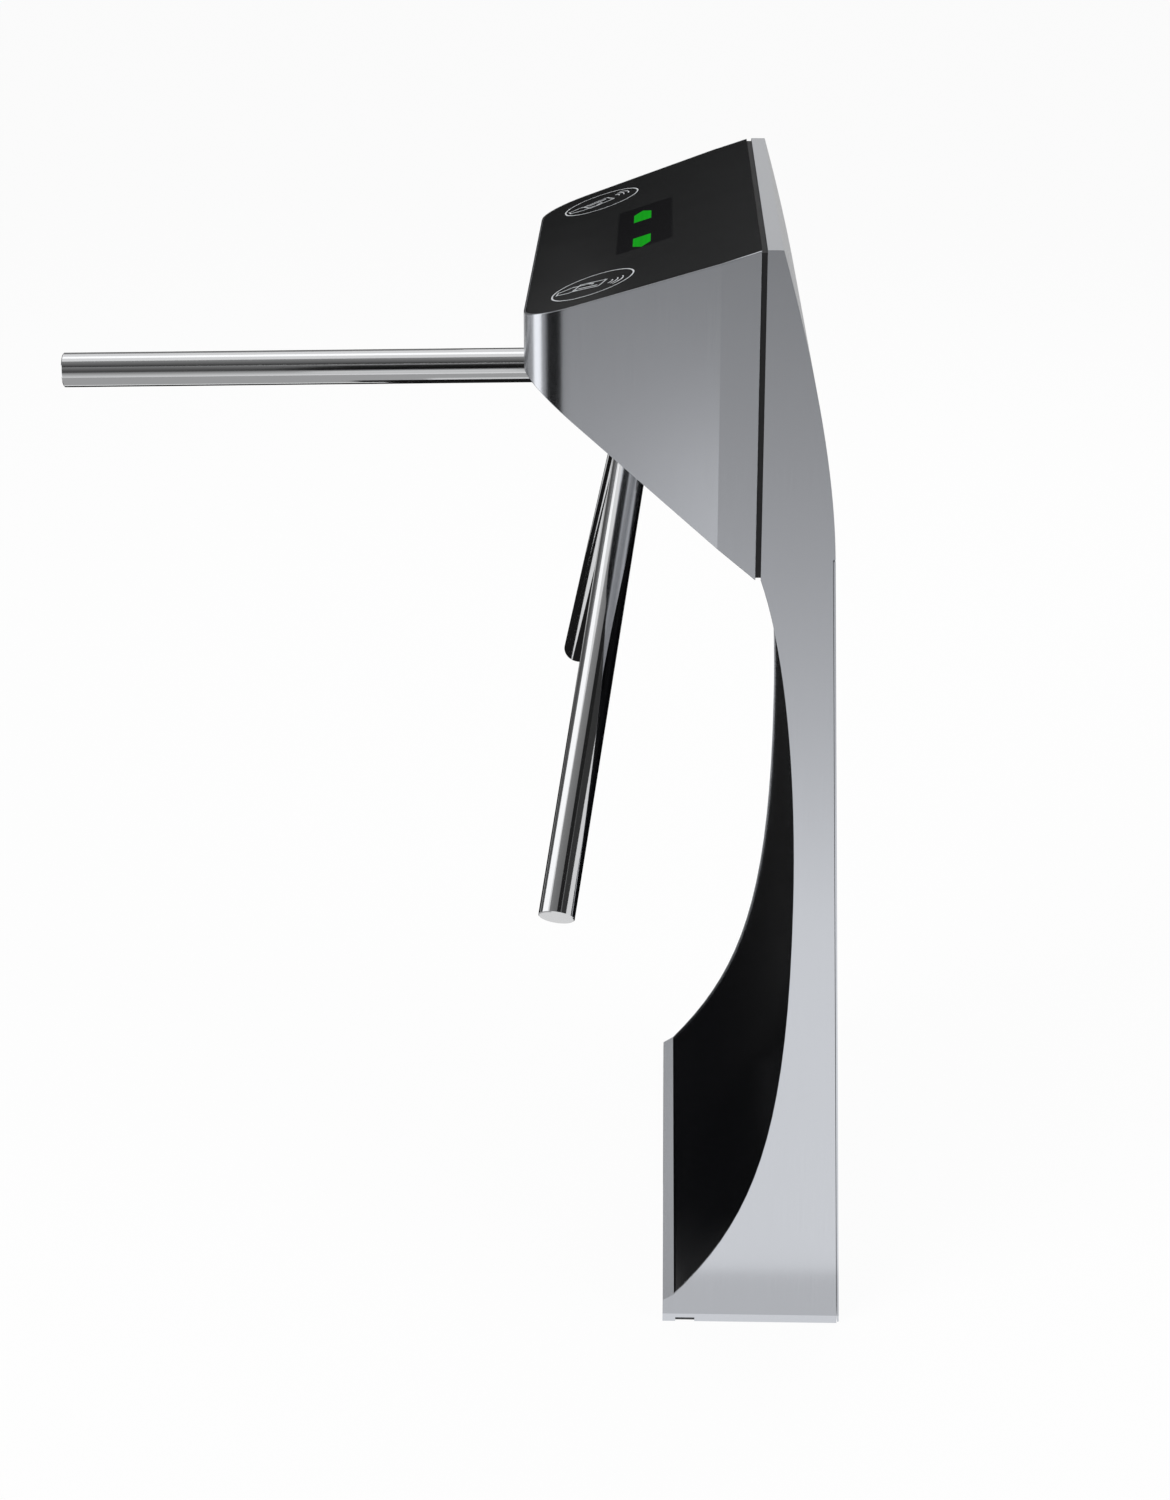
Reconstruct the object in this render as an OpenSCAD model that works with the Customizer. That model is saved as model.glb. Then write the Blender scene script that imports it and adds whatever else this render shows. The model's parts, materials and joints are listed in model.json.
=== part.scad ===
// Tripod turnstile: a leaning pedestal, a wedge head and three rotating arms.
// X runs across the passage with the arms at -X, Y runs along the walking direction, Z is up.
// The origin lies on the floor at the centre of the base.

/* [Pedestal] */
// Width of the base, across the passage
base_w = 166; // [156:1:176]
// Depth of the cabinet, along the walking direction
cabinet_d = 540; // [500:5:580]
// Height of the pedestal
pedestal_h = 1018; // [1010:1:1030]
// Width of the flat top of the pedestal
top_w = 13.3; // [11:0.1:15]
// Place of the face that the head is bolted to
neck_x = -5.7; // [-8:0.1:-4]
// Height of that face, from its lower edge to the top
neck_h = 285; // [278:1:293]
// Sheet thickness of the pedestal
sheet_t = 2; // [1.5:0.1:2.5]
// Height of the lip at the foot of the scoop
lip_h = 22.4; // [18:0.2:28]
// Width of the lip
lip_w = 10.4; // [8:0.2:13]
// Rise of the lip towards the scoop
lip_rise = 6.6; // [5:0.2:8]
// Width of the pedestal's foot outside the waist of the scoop
waist_in = 53.4; // [52:0.2:59]
// Height of the waist
waist_z = 430; // [410:5:450]
// Thickness of the glossy scoop panel
scoop_t = 2; // [1.5:0.1:2.5]

/* [Service door] */
// Distance of the service door's upper edge below the top
door_drop = 266; // [258:1:273]
// Thickness of the door
door_t = 2.2; // [1.8:0.1:2.6]
// How far the door leans in at its top
door_lean = 25.2; // [23:0.2:28]
// Width of the frame that the door closes on
frame_w = 26; // [22:1:30]
// Radius of the hinge knuckles
knuckle_r = 4; // [3.5:0.1:4.5]
// Radius of the hinge pins
hinge_pin_r = 1.5; // [1.2:0.1:1.8]
// Length of each hinge
hinge_l = 60; // [50:1:70]
// Height of the lower hinge above the floor
hinge_low_z = 120; // [100:5:140]
// Distance of the upper hinge below the door's upper edge
hinge_drop = 112; // [92:5:132]
// Radius of the lock cylinder
lock_r = 9.5; // [8:0.5:11]
// Height of the lock
lock_z = 400; // [380:5:420]

/* [Head] */
// Length of the head, from its joint with the pedestal to its nose
head_l = 200; // [195:1:205]
// Gap between the head and the pedestal
head_gap = 4.6; // [3.6:0.2:5.6]
// Length of the straight sides before they taper
head_straight = 33; // [28:1:38]
// Taper of each side of the head
head_taper = 10; // [8:0.5:12]
// Slope of the top
top_angle = 18.5; // [17:0.5:20]
// Slope of the underside
under_angle = 40; // [39:0.5:41]
// Radius of the upright corners of the nose
nose_r = 50; // [42:1:56]
// Sheet thickness of the head
head_t = 2; // [1.6:0.1:2.4]
// Thickness of the plate at the back of the head
back_t = 4; // [3:0.5:5]

/* [Top plate] */
// Thickness of the black top plate
plate_t = 5; // [4:0.5:6]
// Width of the ledge that the plate rests on
ledge_w = 12; // [10:1:14]
// Thickness of the foam strip under the plate
foam_t = 1.5; // [1:0.1:2]
// Length of the display window, along the walking direction
window_l = 190; // [184:1:200]
// Width of the display window, up the slope
window_w = 52.7; // [50:0.5:56]
// Thickness of the display window
window_t = 3; // [2:0.5:3.5]
// Width of each arrow
arrow_w = 16.4; // [14:0.2:18]
// Length of each arrow's straight sides
arrow_l = 34; // [30:1:36]
// Length of each arrow's point
arrow_tip = 12; // [10:1:14]
// Distance between the backs of the arrows
arrow_gap = 72; // [68:1:76]
// Radius of each reader ring
ring_r = 37.5; // [34:0.5:40]
// Width of the line of a reader ring
ring_line = 1.4; // [1:0.1:2]
// Distance of each reader ring's centre from the side of the cabinet
ring_side = 84; // [80:1:90]

/* [Tripod] */
// Outside diameter of an arm
arm_d = 32; // [30:0.5:34]
// Wall of an arm
arm_wall = 1.5; // [1.2:0.1:2]
// Length from the point where the arms meet to an arm's end
arm_reach = 541; // [500:5:560]
// Angle between an arm and the spin axis
arm_angle = 49; // [48:0.5:50]
// Distance of the spin axis from the lower corner of the head, along the underside
hub_reach = 153; // [150:1:156]
// Distance of the point where the arms meet behind the underside
hub_inset = 32; // [30:0.5:34]
// Largest radius of the hub
hub_r = 63; // [61:0.5:65]

/* [Mechanism] */
// Thickness of the chassis plate
chassis_t = 8; // [6:0.5:10]
// Bore of each ball bearing
bearing_bore = 25; // [24:0.5:26]
// Outside diameter of each ball bearing
bearing_od = 47; // [46:0.5:48]
// Width of each ball bearing
bearing_w = 12; // [11:0.5:12.5]
// Radius of the index disc
index_r = 50; // [47:0.5:50]
// Thickness of the index disc
index_t = 9; // [8:0.5:10]
// Tooth module of the drive gears
tooth_module = 2; // [2:0.5:2]
// Teeth of the drive gear
gear_teeth = 45; // [45:3:45]
// Teeth of the motor pinion
pinion_teeth = 15; // [15:1:15]
// Face width of the drive gear
gear_t = 8; // [7:0.5:9]

/* [Base and electronics] */
// Thickness of the base plate
base_t = 12; // [10:0.5:14]
// Diameter of the floor anchor holes
anchor_d = 14; // [12:0.5:16]
// Distance of the anchor holes from each long edge of the base
anchor_side = 28; // [25:1:33]
// Distance of the anchor holes from each end of the base
anchor_end = 50; // [40:5:70]
// Diameter of the cable entry in the base plate
entry_d = 40; // [32:1:44]

/* [Hidden] */

// Fits and fine sizes
fit_gap = 0.3;
run_gap = 0.05;
cut = 1;
seal_gap = 0.5;
plate_gap = 0.3;

// Shape of the pedestal's curves
neck_z = pedestal_h - neck_h;
door_top = pedestal_h - door_drop;
shoulder_rise = 105;
shoulder_z = door_top + shoulder_rise;
waist_share = 0.43;
waist_rise = (neck_z - waist_z) * waist_share;
waist_drop = 230;
neck_pull_x = 21.5;
neck_pull_z = 61;
lip_pull_x = 73.6;
lip_pull_z = 81.7;
curve_steps = 18;

// Tilt frames
base_right = base_w / 2;
base_left = -base_w / 2;
waist_x = base_right - waist_in;
door_slope = door_lean / door_top;
door_angle = atan(door_slope);
half_d = cabinet_d / 2;
inner_d = cabinet_d - 2 * sheet_t;
hinge_high_z = door_top - hinge_drop;
ring_span = cabinet_d - 2 * ring_side;
anchor_x = base_w - 2 * anchor_side;
anchor_y = cabinet_d - 2 * anchor_end;

// Head places
head_x = neck_x - head_gap;
nose_x = head_x - head_l;
head_top = pedestal_h - seal_gap;
crease_x = head_x - head_straight;
nose_top = head_top - head_l * tan(top_angle);
nose_bottom = neck_z + head_l * tan(under_angle);
axis_drop = 90 - under_angle;
pierce_x = head_x - hub_reach * cos(under_angle);
pierce_z = neck_z + hub_reach * sin(under_angle);
hub_x = pierce_x + hub_inset * cos(axis_drop);
hub_z = pierce_z + hub_inset * sin(axis_drop);

// Points on the pedestal's outline
function door_line(z) = base_right - z * door_slope;
function bez(a, b, c, d, t) =
    (1 - t) ^ 3 * a + 3 * (1 - t) ^ 2 * t * b + 3 * (1 - t) * t ^ 2 * c + t ^ 3 * d;
function bez_way(a, b, c, d, t) =
    3 * (1 - t) ^ 2 * (b - a) + 6 * (1 - t) * t * (c - b) + 3 * t ^ 2 * (d - c);
function left_of(v) = [-v.y, v.x] / norm(v);
// Points along a curve, moved by g to the left of its way
function curve(a, b, c, d, g, n) =
    [for (i = [0:n]) bez(a, b, c, d, i / n) + g * left_of(bez_way(a, b, c, d, i / n))];

lip_end = [base_left + lip_w, lip_h + lip_rise];
waist = [waist_x, waist_z];
neck = [neck_x, neck_z];
crown = [neck_x + top_w, pedestal_h];
shoulder = [door_line(shoulder_z), shoulder_z];
door_head = [door_line(door_top), door_top];

// Scoop curve from the lip up to the neck, moved by g into the pedestal
function scoop_low(g) = curve(lip_end, lip_end + [lip_pull_x, lip_pull_z],
    waist - [0, waist_drop], waist, -g, curve_steps);
function scoop_high(g) = curve(waist, waist + [0, waist_rise],
    neck + [neck_pull_x, -neck_pull_z], neck, -g, curve_steps);
function scoop(g) = concat(scoop_low(g), [for (i = [1:curve_steps]) scoop_high(g)[i]]);
// Back curve from the crown down to the door, moved by g into the pedestal
pull_share = 2 / 3;
function back(g) = curve(crown, crown + (shoulder - crown) * pull_share,
    door_head + (shoulder - door_head) * pull_share, door_head, -g, curve_steps);

module across(d) rotate([90, 0, 0]) linear_extrude(d, center = true) children();
module at_hub() translate([hub_x, 0, hub_z]) rotate([0, -90 - axis_drop, 0]) children();
module at_arm(turn) at_hub() rotate([0, 0, turn]) rotate([0, arm_angle, 0]) children();
module on_door(z) translate([door_line(z), 0, z]) rotate([0, -door_angle, 0]) children();
function top_z(x) = head_top + (x - head_x) * tan(top_angle);
module on_top(x) translate([x, 0, top_z(x)]) rotate([0, -top_angle, 0]) children();
module both_sides(y) for (s = [-1, 1]) translate([0, s * y, 0]) children();
module ring(outer, inner, h) difference() {
    cylinder(r = outer, h = h, $fn = 72);
    translate([0, 0, -cut]) cylinder(r = inner, h = h + 2 * cut, $fn = 72);
}
// A cap screw with its head above z = 0 and its shank below
module cap_screw(d, l) difference() {
    union() {
        cylinder(r = d * head_share / 2, h = d * head_high_share, $fn = 32);
        translate([0, 0, -l]) cylinder(r = d / 2, h = l, $fn = 32);
    }
    translate([0, 0, d * head_high_share / 2]) cylinder(r = d * socket_share / 2, h = d, $fn = 6);
}
head_share = 1.6;
head_high_share = 0.7;
socket_share = 0.9;

// Pedestal

foot_gap = 0.6;
drain_w = 18;
drain_h = 4;
drain_in = 12;

module pedestal_outline() polygon(concat(
    [[door_line(0) - door_t, 0], [base_left, 0], [base_left, lip_h]],
    scoop(0), [[neck_x, pedestal_h]], back(0),
    [[door_head.x - door_t, door_top]]));

module pedestal_cavity() polygon(concat(
    [[door_line(-cut) - door_t - sheet_t, -cut], [base_left + sheet_t, -cut],
     [base_left + sheet_t, lip_h - sheet_t / 2], [lip_end.x, lip_end.y - sheet_t],
     [lip_end.x, lip_end.y + lip_h], [neck_x - head_gap, neck_z - lip_h],
     [neck_x - head_gap, neck_z + sheet_t], [neck_x + sheet_t, neck_z + sheet_t],
     [neck_x + sheet_t, pedestal_h - sheet_t], [crown.x - sheet_t, pedestal_h - sheet_t]],
    [for (i = [1:curve_steps]) back(sheet_t)[i]],
    [[door_head.x - door_t - sheet_t, door_top - sheet_t]]));

door_open_top = door_top - frame_w;
neck_hole_r = 12;
neck_hole_rise = 147;
neck_hole_z = neck_z + neck_hole_rise;
neck_hole_y = 96;
module pedestal_shell() color([0.72, 0.73, 0.75]) difference() {
    across(cabinet_d) pedestal_outline();
    across(inner_d) pedestal_cavity();
    // Opening behind the service door
    translate([base_right / 2, -half_d + frame_w, frame_w])
        cube([base_right, cabinet_d - 2 * frame_w, door_open_top - frame_w]);
    // Drain notch at the foot of the near side
    translate([base_left + drain_in, -half_d - cut, -cut])
        cube([drain_w, sheet_t + 2 * cut, drain_h + cut]);
    neck_cable_hole();
    head_bolt_holes();
}
module neck_cable_hole() translate([head_x - 2 * back_t, neck_hole_y, neck_hole_z]) rotate([0, 90, 0])
    cylinder(r = neck_hole_r, h = 2 * back_t + head_gap + 2 * neck_plate_t + sheet_t, $fn = 48);

scoop_inset = 1;
module scoop_panel() color([0.03, 0.03, 0.035]) across(inner_d)
    polygon(concat(scoop(scoop_inset), scoop_back_run));
scoop_outer_run = scoop(scoop_inset + scoop_t);
scoop_back_run = [for (i = [len(scoop_outer_run) - 1:-1:0]) scoop_outer_run[i]];

entry_x = -20;
module base_plate() color([0.35, 0.36, 0.38]) difference() {
    across(inner_d - 2 * foot_gap) polygon([
        [base_left + sheet_t + foot_gap, 0],
        [door_line(0) - door_t - sheet_t - foot_gap, 0],
        [door_line(base_t) - door_t - sheet_t - foot_gap, base_t],
        [base_left + sheet_t + foot_gap, base_t]]);
    for (x = [-anchor_x, anchor_x] / 2, y = [-anchor_y, anchor_y] / 2)
        translate([x, y, -cut]) cylinder(r = anchor_d / 2, h = base_t + 2 * cut, $fn = 40);
    translate([entry_x, 0, -cut]) cylinder(r = entry_d / 2, h = base_t + 2 * cut, $fn = 48);
}

post_w = 22;
post_d = 40;
post_wall = 2.5;
post_in = 120;
post_y = half_d - post_in;
gusset_drop = 152;
gusset_low = door_top - gusset_drop;
post_lap = 60;
post_top = gusset_low + post_lap;
post_x = waist_x + scoop_inset + scoop_t + 2 * fit_gap + post_w / 2;
module frame_posts() color([0.30, 0.31, 0.33]) both_sides(post_y) difference() {
    translate([post_x - post_w / 2, -post_d / 2, base_t]) cube([post_w, post_d, post_top - base_t]);
    translate([post_x - post_w / 2 + post_wall, -post_d / 2 + post_wall, base_t - cut])
        cube([post_w - 2 * post_wall, post_d - 2 * post_wall, post_top - base_t + 2 * cut]);
}

neck_plate_t = 5;
neck_plate_rise = 12;
neck_plate_low = neck_z + neck_plate_rise;
neck_plate_drop = 38;
neck_plate_high = pedestal_h - neck_plate_drop;
neck_plate_in = 70;
neck_plate_d = cabinet_d - 2 * neck_plate_in;
gusset_t = 4;
gusset_rise = 207;
gusset_high = neck_z + gusset_rise;
gusset_clear = 2.5;
function gusset_line(z) = back_x(z) - sheet_t - gusset_clear;
// Outer face at height z above the door, read from the curve's points
function back_x(z) = lookup(z, [for (p = back(0)) [p.y, p.x]]);
module neck_bracket() color([0.30, 0.31, 0.33]) difference() {
    union() {
        translate([neck_x + sheet_t, -neck_plate_d / 2, neck_plate_low])
            cube([neck_plate_t, neck_plate_d, neck_plate_high - neck_plate_low]);
        both_sides(post_y + post_d / 2 + gusset_t / 2) across(gusset_t) polygon([
            [post_x - post_w / 2, gusset_low], [post_x + post_w / 2, gusset_low],
            [door_line(door_open_top) - door_t - sheet_t - gusset_clear, door_open_top],
            [door_line(door_top) - door_t - sheet_t - gusset_clear, door_top],
            [gusset_line((door_top + gusset_high) / 2), (door_top + gusset_high) / 2],
            [gusset_line(gusset_high), gusset_high],
            [neck_x + sheet_t + neck_plate_t / 2, gusset_high],
            [neck_x + sheet_t + neck_plate_t / 2, neck_plate_low],
            [post_x - post_w / 2, neck_plate_low - neck_pull_z]]);
    }
    neck_cable_hole();
    head_bolt_holes();
}

gasket_inset = 2;
module neck_gasket() color([0.02, 0.02, 0.02]) difference() {
    translate([head_x, -half_d + gasket_inset, neck_z + gasket_inset])
        cube([head_gap, cabinet_d - 2 * gasket_inset, head_top - neck_z - 2 * gasket_inset]);
    neck_cable_hole();
    head_bolt_holes();
}

// Service door, in a frame that leans with the pedestal's outer face

door_margin = 1.5;
door_l = (door_top - 2 * door_margin) / cos(door_angle);
hinge_y = half_d + knuckle_r + fit_gap;
leaf_t = 1.5;
leaf_w = 22;
knuckle_parts = 3;
lock_in = 50;
lock_y = lock_in - half_d;

module service_door() color([0.74, 0.75, 0.77]) difference() {
    on_door(door_margin) translate([-door_t + seal_gap, -half_d, 0])
        cube([door_t - seal_gap, cabinet_d, door_l]);
    on_door(lock_z) translate([-door_t - cut, lock_y, 0]) rotate([0, 90, 0])
        cylinder(r = lock_r + fit_gap, h = door_t + 2 * cut, $fn = 48);
}
// Leaves and knuckles of one hinge: part 0 and 2 are fixed, part 1 turns with the door
module knuckle(part) translate([0, hinge_y, part * hinge_l / knuckle_parts + fit_gap / 2]) difference() {
    cylinder(r = knuckle_r, h = hinge_l / knuckle_parts - fit_gap, $fn = 40);
    translate([0, 0, -cut])
        cylinder(r = hinge_pin_r + run_gap, h = hinge_l / knuckle_parts + 2 * cut, $fn = 32);
}
module pin_hole() translate([0, hinge_y, -cut])
    cylinder(r = hinge_pin_r + run_gap, h = hinge_l + 2 * cut, $fn = 32);
module fixed_leaf() difference() {
    union() {
        translate([-leaf_w - knuckle_r - leaf_t, half_d, 0]) cube([leaf_w, leaf_t, hinge_l]);
        for (part = [0, 2]) {
            knuckle(part);
            translate([-knuckle_r - 2 * leaf_t, half_d, part * hinge_l / knuckle_parts + fit_gap / 2])
                cube([knuckle_r + 2 * leaf_t, leaf_t, hinge_l / knuckle_parts - fit_gap]);
        }
    }
    pin_hole();
}
module door_leaf() difference() {
    union() {
        translate([0, half_d - leaf_w, 0]) cube([leaf_t, leaf_w - fit_gap, hinge_l]);
        knuckle(1);
        translate([0, half_d - leaf_t, hinge_l / knuckle_parts + fit_gap / 2])
            cube([leaf_t, knuckle_r + leaf_t, hinge_l / knuckle_parts - fit_gap]);
    }
    pin_hole();
}
module each_hinge() for (z = [hinge_low_z, hinge_high_z]) on_door(z) children();
module hinge_leaves_fixed() color([0.62, 0.63, 0.65]) each_hinge() fixed_leaf();
module hinge_leaves_door() color([0.62, 0.63, 0.65]) each_hinge() door_leaf();
module hinge_pins() color([0.5, 0.5, 0.52]) each_hinge() translate([0, hinge_y, 0])
    cylinder(r = hinge_pin_r, h = hinge_l, $fn = 32);

lock_flange_r = 13;
lock_flange_t = 1.8;
lock_l = 20;
plug_r = 6.5;
key_w = 1.6;
key_h = 7;
cam_l = 30;
cam_w = 11;
cam_t = 2.5;
cam_hook_t = 3;
cam_hook_h = lock_l - door_t - sheet_t - seal_gap + cam_t;
module lock_body() color([0.7, 0.7, 0.72]) on_door(lock_z) translate([0, lock_y, 0]) rotate([0, 90, 0])
    difference() {
        union() {
            cylinder(r = lock_flange_r, h = lock_flange_t, $fn = 48);
            translate([0, 0, -lock_l]) cylinder(r = lock_r, h = lock_l, $fn = 48);
        }
        translate([0, 0, -lock_l - cut])
            cylinder(r = plug_r + run_gap, h = lock_l + lock_flange_t + 2 * cut, $fn = 48);
    }
module lock_cam() color([0.8, 0.75, 0.5]) on_door(lock_z) translate([0, lock_y, 0]) rotate([0, 90, 0])
    difference() {
        union() {
            translate([0, 0, -lock_l - cam_t])
                cylinder(r = plug_r, h = lock_l + cam_t + lock_flange_t, $fn = 48);
            translate([-cam_l, -cam_w / 2, -lock_l - fit_gap - cam_t])
                cube([cam_l, cam_w, cam_t]);
            translate([-cam_l, -cam_w / 2, -lock_l - fit_gap - cam_t])
                cube([cam_hook_t, cam_w, cam_hook_h]);
        }
        translate([-key_h / 2, -key_w / 2, 0]) cube([key_h, key_w, lock_flange_t + cut]);
    }

// Head

// Distance from the middle to the tapered side at x, for an outline pulled in by g
function side_y(x, g) = half_d - (crease_x - x) * tan(head_taper) - g / cos(head_taper);
nose_steps = 8;
// Plan of the head, pulled in by g
function nose_arc(g) = let (cx = nose_x + nose_r, cy = side_y(cx, 0) - nose_r / cos(head_taper))
    [for (i = [0:nose_steps]) let (a = 90 + head_taper + i * (90 - head_taper) / nose_steps)
        [cx + (nose_r - g) * cos(a), cy + (nose_r - g) * sin(a)]];
function half_plan(g) = concat(
    [[head_x, half_d - g], [crease_x, half_d - g]], nose_arc(g));
function mirrored(points) = [for (i = [len(points) - 1:-1:0]) [points[i].x, -points[i].y]];
module head_plan(g) polygon(concat(half_plan(g), mirrored(half_plan(g))));
module head_prism(g) translate([0, 0, neck_z / 2]) linear_extrude(pedestal_h) head_plan(g);

// Front outline of the head between top plane moved down by a and underside moved up by b
module head_profile(a, b, back) polygon([
    [head_x + back, head_top - a / cos(top_angle) + back * tan(top_angle)],
    [nose_x, nose_top - a / cos(top_angle)],
    [nose_x, nose_bottom + b / cos(under_angle)],
    [head_x + back, neck_z + b / cos(under_angle) - back * tan(under_angle)]]);
module top_slab(a, b) polygon([
    [head_x + cut, head_top - a / cos(top_angle) + cut * tan(top_angle)],
    [nose_x - cut, nose_top - a / cos(top_angle) - cut * tan(top_angle)],
    [nose_x - cut, nose_top - b / cos(top_angle) - cut * tan(top_angle)],
    [head_x + cut, head_top - b / cos(top_angle) + cut * tan(top_angle)]]);

plate_inset = head_t + plate_gap;
ledge_deep = plate_t + foam_t;
bezel_gap = 3;
opening_r = hub_r + bezel_gap;
module head_shell() color([0.68, 0.70, 0.73]) difference() {
    intersection() {
        head_prism(0);
        across(cabinet_d) head_profile(0, 0, 0);
    }
    // Cavity below the ledge
    intersection() {
        head_prism_back(head_t);
        across(cabinet_d) head_profile(ledge_deep + head_t, head_t, cut);
    }
    // Recess for the top plate
    intersection() {
        head_prism_back(head_t);
        across(cabinet_d) top_slab(-ledge_deep, ledge_deep);
    }
    // Opening inside the ledge
    intersection() {
        head_prism_back(head_t + ledge_w);
        across(cabinet_d) top_slab(0, 2 * ledge_deep);
    }
    at_hub() translate([0, 0, hub_inset - 2 * head_t]) cylinder(r = opening_r, h = 4 * head_t, $fn = 96);
    at_hub() bezel_places() translate([0, 0, hub_inset - 2 * head_t])
        cylinder(r = bezel_screw_d / 2 + fit_gap, h = 4 * head_t, $fn = 24);
    at_hub() chassis_places() translate([0, 0, hub_inset - 2 * head_t])
        cylinder(r = post_screw_d / 2 + fit_gap, h = 4 * head_t, $fn = 24);
}
// The same prism, run on past the back of the head
module head_prism_back(g) {
    head_prism(g);
    translate([crease_x, -half_d + g, neck_z / 2]) cube([head_straight + cut, cabinet_d - 2 * g, pedestal_h]);
}

bolt_d = 8;
head_bolt_in = 82;
head_bolt_y = half_d - head_bolt_in;
head_bolt_rise = 70;
head_bolt_first = 57;
head_bolt_low = neck_z + head_bolt_first;
head_bolt_rows = 3;
module head_bolt_places() for (row = [0:head_bolt_rows - 1], s = [-1, 1])
    translate([0, s * head_bolt_y, head_bolt_low + row * head_bolt_rise]) children();
module head_bolt_holes() head_bolt_places() translate([head_x - 2 * back_t, 0, 0]) rotate([0, 90, 0])
    cylinder(r = bolt_d / 2 + fit_gap, h = 2 * back_t + head_gap + 2 * neck_plate_t + sheet_t, $fn = 32);
module head_back_plate() color([0.30, 0.31, 0.33]) difference() {
    intersection() {
        translate([head_x - back_t, -half_d + head_t + plate_gap, neck_z])
            cube([back_t, cabinet_d - 2 * head_t - 2 * plate_gap, head_top - neck_z]);
        across(cabinet_d) head_profile(ledge_deep + head_t + plate_gap, head_t + plate_gap, 0);
    }
    neck_cable_hole();
    head_bolt_holes();
}
nut_h = 6.5;
nut_share = 1.7;
module head_bolts() color([0.55, 0.55, 0.57]) head_bolt_places() {
    translate([head_x - back_t, 0, 0]) rotate([0, -90, 0])
        cap_screw(bolt_d, back_t + head_gap + sheet_t + neck_plate_t + nut_h);
    translate([neck_x + sheet_t + neck_plate_t, 0, 0]) rotate([0, 90, 0]) difference() {
        cylinder(r = bolt_d * nut_share / 2, h = nut_h, $fn = 6);
        translate([0, 0, -cut]) cylinder(r = bolt_d / 2 + fine_gap, h = nut_h + 2 * cut, $fn = 32);
    }
}

// Top plate with its display and readers

module plate_foam() color([0.05, 0.05, 0.05]) difference() {
    intersection() {
        head_prism(plate_inset);
        across(cabinet_d) top_slab(plate_t, ledge_deep);
    }
    head_prism_back(head_t + ledge_w);
}
window_in = 101.8;
window_x = nose_x + window_in;
window_round = 5;
module rounded_window(g) {
    square([window_w - 2 * g, window_l - 2 * window_round - 2 * g], center = true);
    square([window_w - 2 * window_round - 2 * g, window_l - 2 * g], center = true);
    for (x = [-1, 1] * (window_w / 2 - window_round - g), y = [-1, 1] * (window_l / 2 - window_round - g))
        translate([x, y]) circle(r = window_round, $fn = 32);
}
window_ledge = 2.5;
module top_plate() color([0.08, 0.085, 0.09]) difference() {
    intersection() {
        head_prism(plate_inset);
        across(cabinet_d) top_slab(0, plate_t);
    }
    on_top(window_x) translate([0, 0, -window_t]) linear_extrude(window_t + cut) rounded_window(0);
    on_top(window_x) translate([0, 0, -plate_t - cut]) linear_extrude(plate_t + cut)
        rounded_window(window_ledge);
    both_sides(ring_span / 2) ring_groove();
}
arrow_x = -2.5;
arrow_shift = -10;
module arrow_outline(g) polygon([
    [-arrow_w / 2 - g, -g], [arrow_w / 2 + g, -g], [arrow_w / 2 + g, arrow_l + g / 2],
    [0, arrow_l + arrow_tip + g], [-arrow_w / 2 - g, arrow_l + g / 2]]);
module arrow_place(s) on_top(window_x) translate([arrow_x, arrow_shift + s * arrow_gap / 2, 0])
    mirror([0, s < 0 ? 1 : 0, 0]) children();
module display_window() color([0.03, 0.03, 0.035]) difference() {
    on_top(window_x) translate([0, 0, -window_t]) linear_extrude(window_t) rounded_window(plate_gap);
    for (s = [-1, 1]) arrow_place(s) translate([0, 0, -window_t - cut])
        linear_extrude(window_t + 2 * cut) arrow_outline(lens_gap);
}
board_t = 1.6;
board_drop = 10;
led_h = 3;
lens_gap = 0.1;
lens_t = window_t + board_drop - led_h;
module arrow_lens(s) color([0.0, 0.65, 0.04]) arrow_place(s) translate([0, 0, -lens_t])
    linear_extrude(lens_t) arrow_outline(0);
module arrow_lens_far() arrow_lens(1);
module arrow_lens_near() arrow_lens(-1);

ring_in = 58.6;
ring_x = nose_x + ring_in;
ring_t = 0.8;
module ring_groove() on_top(ring_x) translate([0, 0, -ring_t])
    ring_band(ring_r + lens_gap, ring_r - ring_line - lens_gap, ring_t + cut);
module ring_band(outer, inner, h) difference() {
    cylinder(r = outer, h = h, $fn = 96);
    translate([0, 0, -cut]) cylinder(r = inner, h = h + 2 * cut, $fn = 96);
}
module reader_ring(s) color([0.85, 0.86, 0.87]) translate([0, s * ring_span / 2, 0]) on_top(ring_x)
    translate([0, 0, -ring_t]) ring_band(ring_r, ring_r - ring_line, ring_t);
module reader_rings() {
    reader_ring(1);
    reader_ring(-1);
}

reader_w = 62;
reader_h = 14;
module reader_module(s) color([0.1, 0.1, 0.11]) translate([0, s * ring_span / 2, 0]) on_top(ring_x)
    difference() {
        translate([-reader_w / 2, -reader_w / 2, -plate_t - reader_h]) cube([reader_w, reader_w, reader_h]);
        translate([0, 0, -plate_t - reader_h - cut]) cylinder(r = reader_w / 4, h = reader_h / 2, $fn = 48);
    }
module reader_modules() {
    reader_module(1);
    reader_module(-1);
}

board_post_r = 3;
board_w = 44;
board_l = 180;
module display_board() color([0.05, 0.30, 0.12]) on_top(window_x) {
    translate([-board_w / 2, -board_l / 2, -window_t - board_drop - board_t])
        cube([board_w, board_l, board_t]);
    for (s = [-1, 1])
        translate([arrow_x - arrow_w / 2, arrow_shift + s * (arrow_gap + arrow_l) / 2 - arrow_l / 2,
            -window_t - board_drop])
            cube([arrow_w, arrow_l, led_h]);
    for (x = [-1, 1] * (board_w / 2 - board_post_r), y = [-1, 1] * (board_l / 2 - board_post_r))
        translate([x, y, -window_t - board_drop]) cylinder(r = board_post_r, h = board_drop, $fn = 24);
}

// Underside bezel round the hub

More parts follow.
